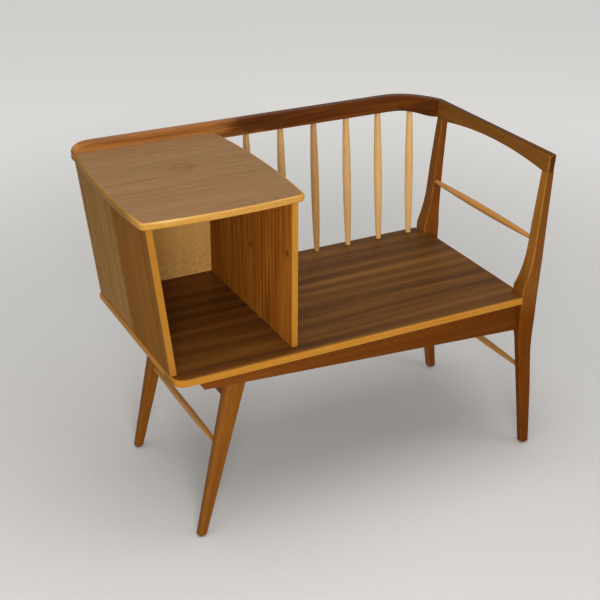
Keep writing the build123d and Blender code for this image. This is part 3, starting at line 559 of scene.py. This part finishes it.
def plastic(name, code):
    """Scuffed moulded plastic with dust in its scratches."""
    s = Shading(name)
    scuff = s.noise(s.vector("MULTIPLY", s.here, (1.0, 0.3, 1.0)), 0.0012, 4.0, 0.7)
    s.base = s.mix(s.between(scuff, 0.45, 0.7), rgba(paint(code)), rgba(paint(0x5A5048)))
    return s.finished({"Roughness": s.between(scuff, 0.3, 0.7, 0.3, 0.55)}, scuff, 0.25, 0.0002)


# ---------- pieces
def linked(name, data):
    """A new object in the scene."""
    made = bpy.data.objects.new(name, data)
    bpy.context.scene.collection.objects.link(made)
    return made


def finish_node(node, material):
    """Gives a carried-over piece its finish."""
    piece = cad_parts[node]
    piece.data.materials.clear()
    piece.data.materials.append(material)


def settle(piece):
    """Turns a piece with live modifiers into a plain mesh."""
    graph = bpy.context.evaluated_depsgraph_get()
    mesh = bpy.data.meshes.new_from_object(piece.evaluated_get(graph))
    piece.modifiers.clear()
    piece.data = mesh


def place_piece(piece, slot, *nodes):
    """A finished piece rides on the frame and stands for its carried-over nodes."""
    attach(piece, BODY)
    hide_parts(*nodes)


def round_arm_end(arm):
    """Rounds the sides and the top of the arm over at its front end."""
    low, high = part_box("arm_rail")
    reach, steps, snap = 0.005, 6, 0.00005
    for step in range(steps):
        place = low.y + reach * (1 - math.sin(step / steps * math.pi / 2))
        bmesh.ops.bisect_plane(arm, geom=arm.verts[:] + arm.edges[:] + arm.faces[:],
                               dist=snap, plane_co=(0, place, 0), plane_no=(0, 1, 0))
    near = [vert for vert in arm.verts if vert.co.y < low.y + reach + MERGED]
    middle = centre_of([vert.co for vert in near])
    half = max(vert.co.x for vert in near) - middle.x
    for vert in near:
        depth = min(1.0, (low.y + reach - vert.co.y) / reach)
        inset = reach * (1 - math.sqrt(max(0.0, 1 - depth * depth)))
        vert.co.x = middle.x + (vert.co.x - middle.x) * (1 - inset / half)
        vert.co.z = low.z + (vert.co.z - low.z) * (1 - inset / (high.z - low.z))
    bmesh.ops.remove_doubles(arm, verts=arm.verts, dist=3 * MERGED)


def eased_copy(node, material, slot, ease=0.0006, reshape=None):
    """A copy of a carried-over piece with clean shading and softly eased arrises."""
    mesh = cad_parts[node].data.copy()
    cleaner = bmesh.new()
    cleaner.from_mesh(mesh)
    bmesh.ops.remove_doubles(cleaner, verts=cleaner.verts, dist=MERGED)
    bmesh.ops.dissolve_limit(cleaner, angle_limit=math.radians(0.6), verts=cleaner.verts,
                             edges=cleaner.edges, use_dissolve_boundaries=False)
    if reshape:
        reshape(cleaner)
    bmesh.ops.recalc_face_normals(cleaner, faces=cleaner.faces)
    cleaner.to_mesh(mesh)
    cleaner.free()
    mesh.materials.clear()
    mesh.materials.append(material)
    piece = linked(node + "_shaped", mesh)
    mesh.shade_smooth()
    mesh.set_sharp_from_angle(angle=math.radians(28))
    if ease:
        bevel = piece.modifiers.new("Eased arrises", "BEVEL")
        bevel.width = ease
        bevel.segments = 2
        bevel.limit_method = "ANGLE"
        bevel.angle_limit = math.radians(35)
        bevel.harden_normals = True
        settle(piece)
    place_piece(piece, slot, node)


class Growing(Nodes):
    """A Geometry Nodes tree that turns lines into round pieces."""

    prefix = "GeometryNode"

    def __init__(self, name, source, lengths, counts):
        super().__init__(bpy.data.node_groups.new(name, "GeometryNodeTree"))
        self.socket(source, "Geometry")
        for label, default in lengths.items():
            made = self.socket(label, "Float")
            made.default_value, made.subtype = default, "DISTANCE"
        for label, default in counts.items():
            self.socket(label, "Int").default_value = default
        self.socket("Finish", "Material")
        self.socket("Pieces", "Geometry", "OUTPUT")
        self.given = self.node("NodeGroupInput").outputs
        self.curve = self.node("MeshToCurve", {"Mesh": self.given[source]}).outputs[0]

    def socket(self, label, kind, side="INPUT"):
        return self.tree.interface.new_socket(label, in_out=side, socket_type="NodeSocket" + kind)

    def sweep(self, radius):
        """A closed round solid along the curve, as wide as the radius says at each point."""
        ring = self.node("CurvePrimitiveCircle", {"Resolution": self.given["Sides"],
                                                  "Radius": 1.0}).outputs[0]
        sized = self.node("SetCurveRadius", {"Curve": self.curve, "Radius": radius}).outputs[0]
        feeds = {"Curve": sized, "Profile Curve": ring, "Fill Caps": True}
        tube = self.node("CurveToMesh", feeds)
        if "Scale" in tube.inputs:
            self.tree.links.new(radius, tube.inputs["Scale"])
        return tube.outputs[0]

    def hand_over(self, geometry):
        """Makes the pieces real, gives them their finish and ends the tree."""
        real = self.node("RealizeInstances", {"Geometry": geometry}).outputs[0]
        painted = self.node("SetMaterial", {"Geometry": real, "Material": self.given["Finish"]})
        self.node("NodeGroupOutput", {"Pieces": painted.outputs[0]})
        return self.tree


def turned_tree():
    """Turns every edge of a mesh into a turned piece: straight ends and a full belly."""
    g = Growing("Turned pieces", "Axes", {"Foot radius": 0.006, "Belly radius": 0.0095,
                                          "Neck radius": 0.0065, "Tenon": 0.009},
                {"Sides": 32, "Rings": 40})
    given = g.given
    foot, belly, neck = (given[end + " radius"] for end in ("Foot", "Belly", "Neck"))
    count = g.maths("ADD", given["Rings"], 1)
    g.curve = g.node("ResampleCurve", {"Curve": g.curve, "Count": count}).outputs[0]
    along = g.node("SplineParameter").outputs["Factor"]
    whole = g.node("SplineLength").outputs["Length"]
    edge = g.maths("DIVIDE", given["Tenon"], whole)
    span = g.maths("SUBTRACT", 1.0, g.times(edge, 2.0))
    t = g.maths("DIVIDE", g.maths("SUBTRACT", along, edge), span, clamp=True)
    straight = g.maths("ADD", foot, g.times(t, g.maths("SUBTRACT", neck, foot)))
    middle = g.times(g.maths("ADD", foot, neck), 0.5)
    bow = g.times(g.times(t, g.maths("SUBTRACT", 1.0, t)), 4.0)
    fullness = g.times(bow, g.maths("SUBTRACT", belly, middle))
    tube = g.sweep(g.maths("ADD", straight, fullness))
    return g.hand_over(g.node("SetShadeSmooth", {"Geometry": tube}).outputs[0])


def lathe_tree():
    """Turns polylines into round solids, with a slot across their heads where it has a width."""
    g = Growing("Lathe", "Lines", {"Slot width": 0.0, "Slot depth": 0.0, "Slot length": 0.0},
                {"Sides": 24})
    given = g.given
    tube = g.sweep(g.node("InputNamedAttribute", {"Name": "reach"},
                          data_type="FLOAT").outputs["Attribute"])
    heads = g.node("CurveEndpointSelection", {"Start Size": 1, "End Size": 0}).outputs[0]
    tangent = g.node("InputTangent").outputs[0]
    turn = g.node("FunctionNodeAlignRotationToVector", {"Vector": tangent}, axis="Z").outputs[0]
    size = g.node("ShaderNodeCombineXYZ", {"X": given["Slot length"], "Y": given["Slot width"],
                                           "Z": g.times(given["Slot depth"], 2.0)})
    bar = g.node("MeshCube", {"Size": size.outputs[0]}).outputs[0]
    bars = g.node("InstanceOnPoints", {"Points": g.curve, "Instance": bar, "Selection": heads,
                                       "Rotation": turn}).outputs[0]
    bars = g.node("RealizeInstances", {"Geometry": bars}).outputs[0]
    cut = g.node("MeshBoolean", {"Mesh 1": tube, "Mesh 2": bars}, operation="DIFFERENCE")
    slotted = g.node("FunctionNodeCompare", {"A": given["Slot width"], "B": 0.0},
                     data_type="FLOAT", operation="GREATER_THAN").outputs[0]
    either = g.node("Switch", {"Switch": slotted, "False": tube, "True": cut.outputs[0]},
                    input_type="GEOMETRY")
    return g.hand_over(either.outputs[0])


def grown(name, mesh, tree, **values):
    """The piece that a tree grows from a mesh of lines, its inputs set by their identifiers."""
    piece = linked(name, mesh)
    modifier = piece.modifiers.new("Growing", "NODES")
    modifier.node_group = tree
    by_name = {item.name: item.identifier for item in tree.interface.items_tree
               if item.in_out == "INPUT"}
    for label, value in values.items():
        modifier[by_name[label.replace("_", " ").capitalize()]] = value
    settle(piece)
    if not len(piece.data.polygons):
        raise RuntimeError("a piece has no faces: " + name)
    return piece


def turned_pieces(name, axes, material, radii, tenon, count):
    """Turned pieces on their axes, with the radii of their foot, belly and neck."""
    mesh = bpy.data.meshes.new(name)
    points = [point for axis in axes for point in axis]
    mesh.from_pydata(points, [(2 * n, 2 * n + 1) for n in range(len(axes))], [])
    tree = bpy.data.node_groups.get("Turned pieces") or turned_tree()
    foot, belly, neck = radii
    return grown(name, mesh, tree, finish=material, foot_radius=foot, belly_radius=belly,
                 neck_radius=neck, tenon=tenon, sides=count.sides, rings=count.rings)


def lathed(name, rods, material, sides=24, slot=(0.0, 0.0, 0.0)):
    """Round solids from the lathe tree: each rod is an axis and its rows of place and radius."""
    mesh = bpy.data.meshes.new(name)
    points, links, reach = [], [], []
    for start, end, rows in rods:
        run = (end - start).normalized()
        links += [(len(points) + n, len(points) + n + 1) for n in range(len(rows) - 1)]
        points += [start + run * along for along, _ in rows]
        reach += [radius for _, radius in rows]
    mesh.from_pydata(points, links, [])
    mesh.attributes.new("reach", "FLOAT", "POINT").data.foreach_set("value", reach)
    tree = bpy.data.node_groups.get("Lathe") or lathe_tree()
    piece = grown(name, mesh, tree, finish=material, sides=sides, slot_width=slot[0],
                  slot_depth=slot[1], slot_length=slot[2])
    piece.data.shade_smooth()
    piece.data.set_sharp_from_angle(angle=math.radians(30))
    return piece


def islands(node):
    """The separate solids of a carried-over piece, each as a list of its points."""
    reader = bmesh.new()
    reader.from_mesh(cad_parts[node].data)
    bmesh.ops.remove_doubles(reader, verts=reader.verts, dist=MERGED)
    reader.verts.index_update()
    seen, found = set(), []
    for first in reader.verts:
        if first.index in seen:
            continue
        seen.add(first.index)
        group = [first]
        for vert in group:
            for near in [link.other_vert(vert) for link in vert.link_edges]:
                if near.index not in seen:
                    seen.add(near.index)
                    group.append(near)
        found.append([vert.co.copy() for vert in group])
    reader.free()
    return found


def rod_axis(points, direction):
    """The two ends of a round solid's axis, found from the rings at its ends."""
    for _ in range(4):
        along = [point.dot(direction) for point in points]
        low, high = min(along), max(along)
        first = [p for p, a in zip(points, along) if a < low + END_RING]
        last = [p for p, a in zip(points, along) if a > high - END_RING]
        start, end = centre_of(first), centre_of(last)
        direction = (end - start).normalized()
    return start, end


def centre_of(points):
    """The middle of the box round some points."""
    low = [min(point[axis] for point in points) for axis in range(3)]
    high = [max(point[axis] for point in points) for axis in range(3)]
    return (Vector(low) + Vector(high)) / 2


def screw_rows(size, length):
    """Places and radii along a countersunk wood screw, from its head to its point."""
    rim, plain = 0.0002, 0.3
    rows = [(0.0, size.head * 0.97), (rim, size.head), (size.head_height, size.shank)]
    place = size.head_height + length * plain
    rows.append((place, size.shank))
    while place + size.pitch < length - size.point:
        rows += [(place + size.pitch * 0.4, size.shank - size.groove),
                 (place + size.pitch * 0.8, size.shank)]
        place += size.pitch
    return rows + [(length - size.point, size.shank), (length, size.shank * 0.15)]


def glide_rows(size, length):
    """Places and radii along a domed glide, from the floor up to the end of its pin."""
    steps = [step / 4 for step in range(5)]
    rows = [(size.dome * (1 - math.cos(step * math.pi / 2)),
             size.disc - size.dome * (1 - math.sin(step * math.pi / 2))) for step in steps]
    return rows + [(size.height, size.disc), (size.height, size.pin),
                   (length - size.pin, size.pin), (length, size.pin * 0.3)]


def nail_rows(size, length):
    """Places and radii along a pin, from its head to its point."""
    rim, point = 0.0001, 0.002
    return [(0.0, size.nail * 0.9), (rim, size.nail), (length - point, size.nail),
            (length, size.nail * 0.15)]


def rods_of(node, direction, rows, size):
    """Each solid of a node as its axis and rows; with no direction it runs outward along Y."""
    rods = []
    for points in islands(node):
        outward = direction or (0.0, math.copysign(1.0, centre_of(points).y), 0.0)
        start, end = rod_axis(points, Vector(outward))
        rods.append((start, end, rows(size, (end - start).length)))
    return rods


def upright_axis(node, foot, neck):
    """The axis of a leaning back spindle, from its node's box."""
    low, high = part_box(node)
    x = (low.x + high.x) / 2
    return (x, low.y + foot, low.z), (x, high.y - neck, high.z)


def level_axis(node):
    """The axis of a piece that runs from front to back, from its node's box."""
    low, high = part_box(node)
    x, z = (low.x + high.x) / 2, (low.z + high.z) / 2
    return (x, low.y, z), (x, high.y, z)


# ---------- steps
class BENCH_OT_back_spindles(Operator):
    """Turns the row of back spindles"""
    bl_idname = "bench.back_spindles"
    bl_label = "Back spindles"

    def execute(self, context):
        settings = context.scene.bench
        size = settings.spindles
        nodes = [f"back_spindle_{n}" for n in range(1, 7)]
        axes = [upright_axis(node, size.foot, size.neck) for node in nodes]
        finish = timber("beech_upright", settings.turned_wood, Z_GRAIN, marks=spindle_tones)
        radii = size.foot, size.belly, size.neck
        piece = turned_pieces("back_spindles", axes, finish, radii, size.tenon, size)
        place_piece(piece, "turned_wood", *nodes)
        return {"FINISHED"}


class BENCH_OT_stretchers(Operator):
    """Turns the two stretchers and the arm's spindle"""
    bl_idname = "bench.stretchers"
    bl_label = "Stretchers and arm spindle"

    def execute(self, context):
        settings = context.scene.bench
        size = settings.stretchers
        finish = timber("beech_level", settings.turned_wood, Y_GRAIN, tone=(0.90, 0.70, 0.45),
                        end_grain=(0.8, 0.8, 0.8))
        for node, belly in (("left_stretcher", size.belly), ("right_stretcher", size.belly),
                            ("arm_spindle", size.arm_belly)):
            radii = size.end, belly, size.end
            piece = turned_pieces(node + "_turned", [level_axis(node)], finish, radii,
                                  size.tenon, settings.spindles)
            place_piece(piece, "turned_wood", node)
        return {"FINISHED"}


class BENCH_OT_legs(Operator):
    """Finishes the left legs and the right posts"""
    bl_idname = "bench.legs"
    bl_label = "Legs and posts"

    def execute(self, context):
        look = context.scene.bench.frame_wood
        leg = timber("frame_along_legs", look, LEG_GRAIN, tone=(1.02, 0.95, 0.80),
                     marks=leg_painted_highlight)
        post = timber("frame_along_posts", look, Z_GRAIN, shift=(0.3, 0.1, 0.2),
                      marks=post_painted_light_and_check)
        far_post = timber("frame_along_far_post", look, Z_GRAIN, shift=(0.1, 0.3, 0.4),
                          tone=(0.90, 0.76, 0.74), marks=far_post_painted_light)
        for node in ("front_left_leg", "back_left_leg"):
            eased_copy(node, leg, "frame_wood")
        eased_copy("front_right_post", post, "frame_wood")
        eased_copy("back_right_post", far_post, "frame_wood")
        return {"FINISHED"}


class BENCH_OT_arm_and_rail(Operator):
    """Finishes the arm and the back rail"""
    bl_idname = "bench.arm_and_rail"
    bl_label = "Arm and back rail"

    def execute(self, context):
        settings = context.scene.bench
        arm = timber("frame_along_arm", settings.frame_wood, Y_GRAIN, shift=(0.1, 0.4, 0.0),
                     tone=(0.95, 1.02, 1.12), end_grain=(0.42, 0.34, 0.48), wear=0.7,
                     marks=arm_painted_light_and_shade)
        rail = timber("rail_along_back", settings.rail_wood, X_GRAIN, marks=rail_painted_light_and_flame)
        eased_copy("arm_rail", arm, "frame_wood", reshape=round_arm_end)
        eased_copy("back_rail", rail, "rail_wood")
        return {"FINISHED"}


class BENCH_OT_under_frame(Operator):
    """Finishes the aprons, the cross pieces and the hidden blocks"""
    bl_idname = "bench.under_frame"
    bl_label = "Under-frame"

    def execute(self, context):
        settings = context.scene.bench
        reddish = (0.70, 0.56, 0.48)
        lengthways = timber("frame_along_aprons", settings.frame_wood, X_GRAIN, tone=reddish,
                            marks=apron_figure)
        crossways = timber("frame_across", settings.frame_wood, Y_GRAIN, tone=reddish)
        # hidden blocks of the same reddish timber, toned dark as painted shade in the gap under the
        # frame
        blocks = timber("block_timber", settings.block_wood, X_GRAIN, tone=(0.42, 0.34, 0.26),
                        wear=0.0)
        dowels = timber("dowel_timber", settings.block_wood, Z_GRAIN, wear=0.0)
        for node in ("front_apron", "rear_apron"):
            eased_copy(node, lengthways, "frame_wood")
        for node in ("right_side_rail", "cross_bearer"):
            eased_copy(node, crossways, "frame_wood")
        for node in ("front_corner_block", "rear_corner_block", "glue_blocks"):
            finish_node(node, blocks)
        for node in ("top_dowels", "arm_dowels"):
            finish_node(node, dowels)
        return {"FINISHED"}


class BENCH_OT_seat(Operator):
    """Finishes the seat board and its lippings"""
    bl_idname = "bench.seat"
    bl_label = "Seat board"

    def execute(self, context):
        settings = context.scene.bench
        finish_node("seat_board", timber("seat_face", settings.seat_veneer, X_GRAIN,
                                         shift=(0.0, 0.12, 0.0), marks=seat_painted_light_and_corner))
        for side, name, grain in (("front", "lipping_lengthways", X_GRAIN),
                                  ("left", "lipping_crossways", Y_GRAIN)):
            finish = timber(name, settings.lipping, grain)
            eased_copy(f"seat_{side}_lipping", finish, "lipping", LIP_EASE)
        return {"FINISHED"}


class BENCH_OT_cabinet(Operator):
    """Finishes the open cabinet"""
    bl_idname = "bench.cabinet"
    bl_label = "Cabinet"

    def execute(self, context):
        settings = context.scene.bench
        wood = settings.lipping
        for node, finish in (
                ("left_panel", timber("left_panel_face", settings.panel_veneer, PANEL_GRAIN,
                                      marks=two_leaves)),
                ("right_panel", timber("right_panel_face", settings.stripe_veneer, Z_GRAIN,
                                       marks=painted_back_shade_and_knots)),
                ("back_panel", timber("ply_face", settings.plywood, Z_GRAIN,
                                      marks=ply_figure)),
                ("top", timber("top_face", settings.top_veneer, X_GRAIN, marks=worn_patch))):
            finish_node("cabinet_" + node, finish)
        left = timber("left_lipping_upright", wood, PANEL_GRAIN, tone=(0.85, 0.83, 0.8))
        # painted highlight: the band is a paler, lit copy of the lipping
        band = timber("top_lipping_band", wood, X_GRAIN, tone=(1.18, 1.40, 2.3),
                      end_grain=(0.95, 0.95, 0.95), marks=lip_painted_light_and_shade)
        eased_copy("cabinet_left_lipping", left, "lipping", LIP_EASE)
        eased_copy("cabinet_right_lipping", timber("lipping_upright", wood, Z_GRAIN),
                   "lipping", LIP_EASE)
        eased_copy("cabinet_top_lipping", band, "lipping", ease=0.0)
        return {"FINISHED"}


class BENCH_OT_fixings(Operator):
    """Finishes the screws, the pins and the glides"""
    bl_idname = "bench.fixings"
    bl_label = "Fixings and glides"

    def execute(self, context):
        size, glides = context.scene.bench.screws, context.scene.bench.glides
        steel = metal("screw_steel", 0x8C8880, 0.4)
        nylon = plastic("glide_moulding", 0x2B2622)
        slot = (size.slot_width, size.slot_depth, size.head * 3)
        for node, direction in (("board_screws", UP), ("panel_screws", UP),
                                ("rail_screws", FRONT), ("leg_screws", None)):
            rods = rods_of(node, direction, screw_rows, size)
            turned = lathed(node + "_turned", rods, steel, sides=20, slot=slot)
            place_piece(turned, "steel", node)
        nails = rods_of("back_panel_pins", FRONT, nail_rows, glides)
        turned = lathed("back_panel_pins_turned", nails, steel, sides=12)
        place_piece(turned, "steel", "back_panel_pins")
        for corner in ("front_left", "back_left", "front_right", "back_right"):
            node = corner + "_glide"
            rods = rods_of(node, UP, glide_rows, glides)
            place_piece(lathed(node + "_turned", rods, nylon), "glide_plastic", node)
        return {"FINISHED"}


class BENCH_OT_stage(Operator):
    """Lays the plain floor and places the lights and the camera"""
    bl_idname = "bench.stage"
    bl_label = "Stage"

    def execute(self, context):
        for build in (lay_floor, hang_lights, set_world, set_camera):
            build(context.scene.bench.stage)
        return {"FINISHED"}


# ---------- stage
def seen_directly(nodes):
    """1 for what the camera, a reflection or glass shows, and 0 for bounced light."""
    rays = nodes.node("LightPath").outputs
    seen = nodes.maths("MAXIMUM", rays["Is Camera Ray"], rays["Is Glossy Ray"])
    return nodes.maths("MAXIMUM", seen, rays["Is Transmission Ray"])


def lay_floor(look):
    """A plain floor, lifted far out to the eye, so that it ends in a pale backdrop."""
    half = look.floor_size / 2
    mesh = bpy.data.meshes.new("floor")
    mesh.from_pydata([(-half, -half, 0), (half, -half, 0), (half, half, 0), (-half, half, 0)],
                     [], [(0, 1, 2, 3)])
    s = Shading("plain_floor")
    tint = s.between(s.noise(s.here, 0.02, 3.0), 0.3, 0.7, 0.985, 1.0)
    lift = s.between(s.vector("LENGTH", s.here), 0.6, 2.8, 0.0, look.far_glow, smooth=True)
    s.give(s.shader, {"Base Color": s.mix(1.0, rgba(look.floor), tint, "MULTIPLY"),
                      "Roughness": 0.9, "Specular IOR Level": 0.1,
                      "Emission Color": rgba(look.floor),
                      "Emission Strength": s.times(lift, seen_directly(s))})
    mesh.materials.append(s.material)
    floor = linked("floor", mesh)


def hang_lights(look):
    """Three round lamps, each turned to its own target."""
    for name, place, target, size, strength in (
            ("key_light", (-1.3, -2.7, 1.35), (-0.15, 0.0, 0.5), 1.2, look.key),
            ("top_light", (-0.3, -0.3, 2.9), (0.0, 0.0, 0.4), 2.6, look.top),
            ("fill_light", (2.4, -2.2, 1.6), (0.1, 0.0, 0.4), 1.6, look.fill)):
        lamp = bpy.data.lights.new(name, "AREA")
        lamp.shape, lamp.size, lamp.energy = "DISK", size, strength
        holder = linked(name, lamp)
        direction = Vector(target) - Vector(place)
        holder.rotation_euler = direction.to_track_quat("-Z", "Y").to_euler()
        holder.location = place


def set_world(look):
    """Even light, paler where it is seen than where it lights."""
    world = bpy.data.worlds.new("even_light")
    bpy.context.scene.world = world
    world.use_nodes = True
    nodes = Nodes(world.node_tree)
    strength = nodes.node("MapRange", {"Value": seen_directly(nodes), "To Min": look.world,
                                       "To Max": look.backdrop}).outputs[0]
    nodes.give(world.node_tree.nodes["Background"], {"Color": rgba(paint(0xFFFFFF)),
                                                     "Strength": strength})


def set_camera(look):
    """Looks at the bench as the photograph does."""
    level = math.cos(CAMERA_PITCH)
    forward = Vector((math.sin(CAMERA_YAW) * level, math.cos(CAMERA_YAW) * level,
                      -math.sin(CAMERA_PITCH)))
    right = Vector((math.cos(CAMERA_YAW), -math.sin(CAMERA_YAW), 0.0))
    down = forward.cross(right)
    right_rolled = right * math.cos(CAMERA_ROLL) + down * math.sin(CAMERA_ROLL)
    down_rolled = down * math.cos(CAMERA_ROLL) - right * math.sin(CAMERA_ROLL)
    lens = bpy.data.cameras.new("camera")
    lens.lens, lens.sensor_width, lens.clip_end = look.lens, 36.0, 120.0
    camera = linked("camera", lens)
    turn = Matrix((right_rolled, -down_rolled, -forward)).transposed()
    camera.matrix_world = Matrix.Translation(CAMERA_PLACE) @ turn.to_4x4()
    bpy.context.scene.camera = camera


# ---------- panel and registration
STEPS = (
    BENCH_OT_seat, BENCH_OT_cabinet, BENCH_OT_legs, BENCH_OT_arm_and_rail,
    BENCH_OT_under_frame, BENCH_OT_back_spindles, BENCH_OT_stretchers, BENCH_OT_fixings,
    BENCH_OT_stage,
)


class BENCH_PT_sidebar(Panel):
    """Lists the bench's pieces and finishes"""
    bl_label = "Telephone bench"
    bl_space_type = "VIEW_3D"
    bl_region_type = "UI"
    bl_category = "Bench"

    def draw(self, context):
        for step in STEPS:
            self.layout.operator(step.bl_idname)
        for part in PARTS:
            box = self.layout.box()
            box.label(text=part.replace("_", " ").capitalize())
            values = getattr(context.scene.bench, part)
            for item in values.bl_rna.properties:
                if item.identifier not in ("rna_type", "name"):
                    box.prop(values, item.identifier)


CLASSES = (*PARTS.values(), BenchSettings, *STEPS, BENCH_PT_sidebar)


def register():
    for each in CLASSES:
        bpy.utils.register_class(each)
    bpy.types.Scene.bench = PointerProperty(type=BenchSettings)


def unregister():
    del bpy.types.Scene.bench
    for each in reversed(CLASSES):
        bpy.utils.unregister_class(each)


def main():
    register()
    for step in STEPS:
        group, name = step.bl_idname.split(".")
        getattr(getattr(bpy.ops, group), name)()
    bpy.context.scene.view_settings.view_transform = "Standard"


if __name__ == "__main__":
    main()
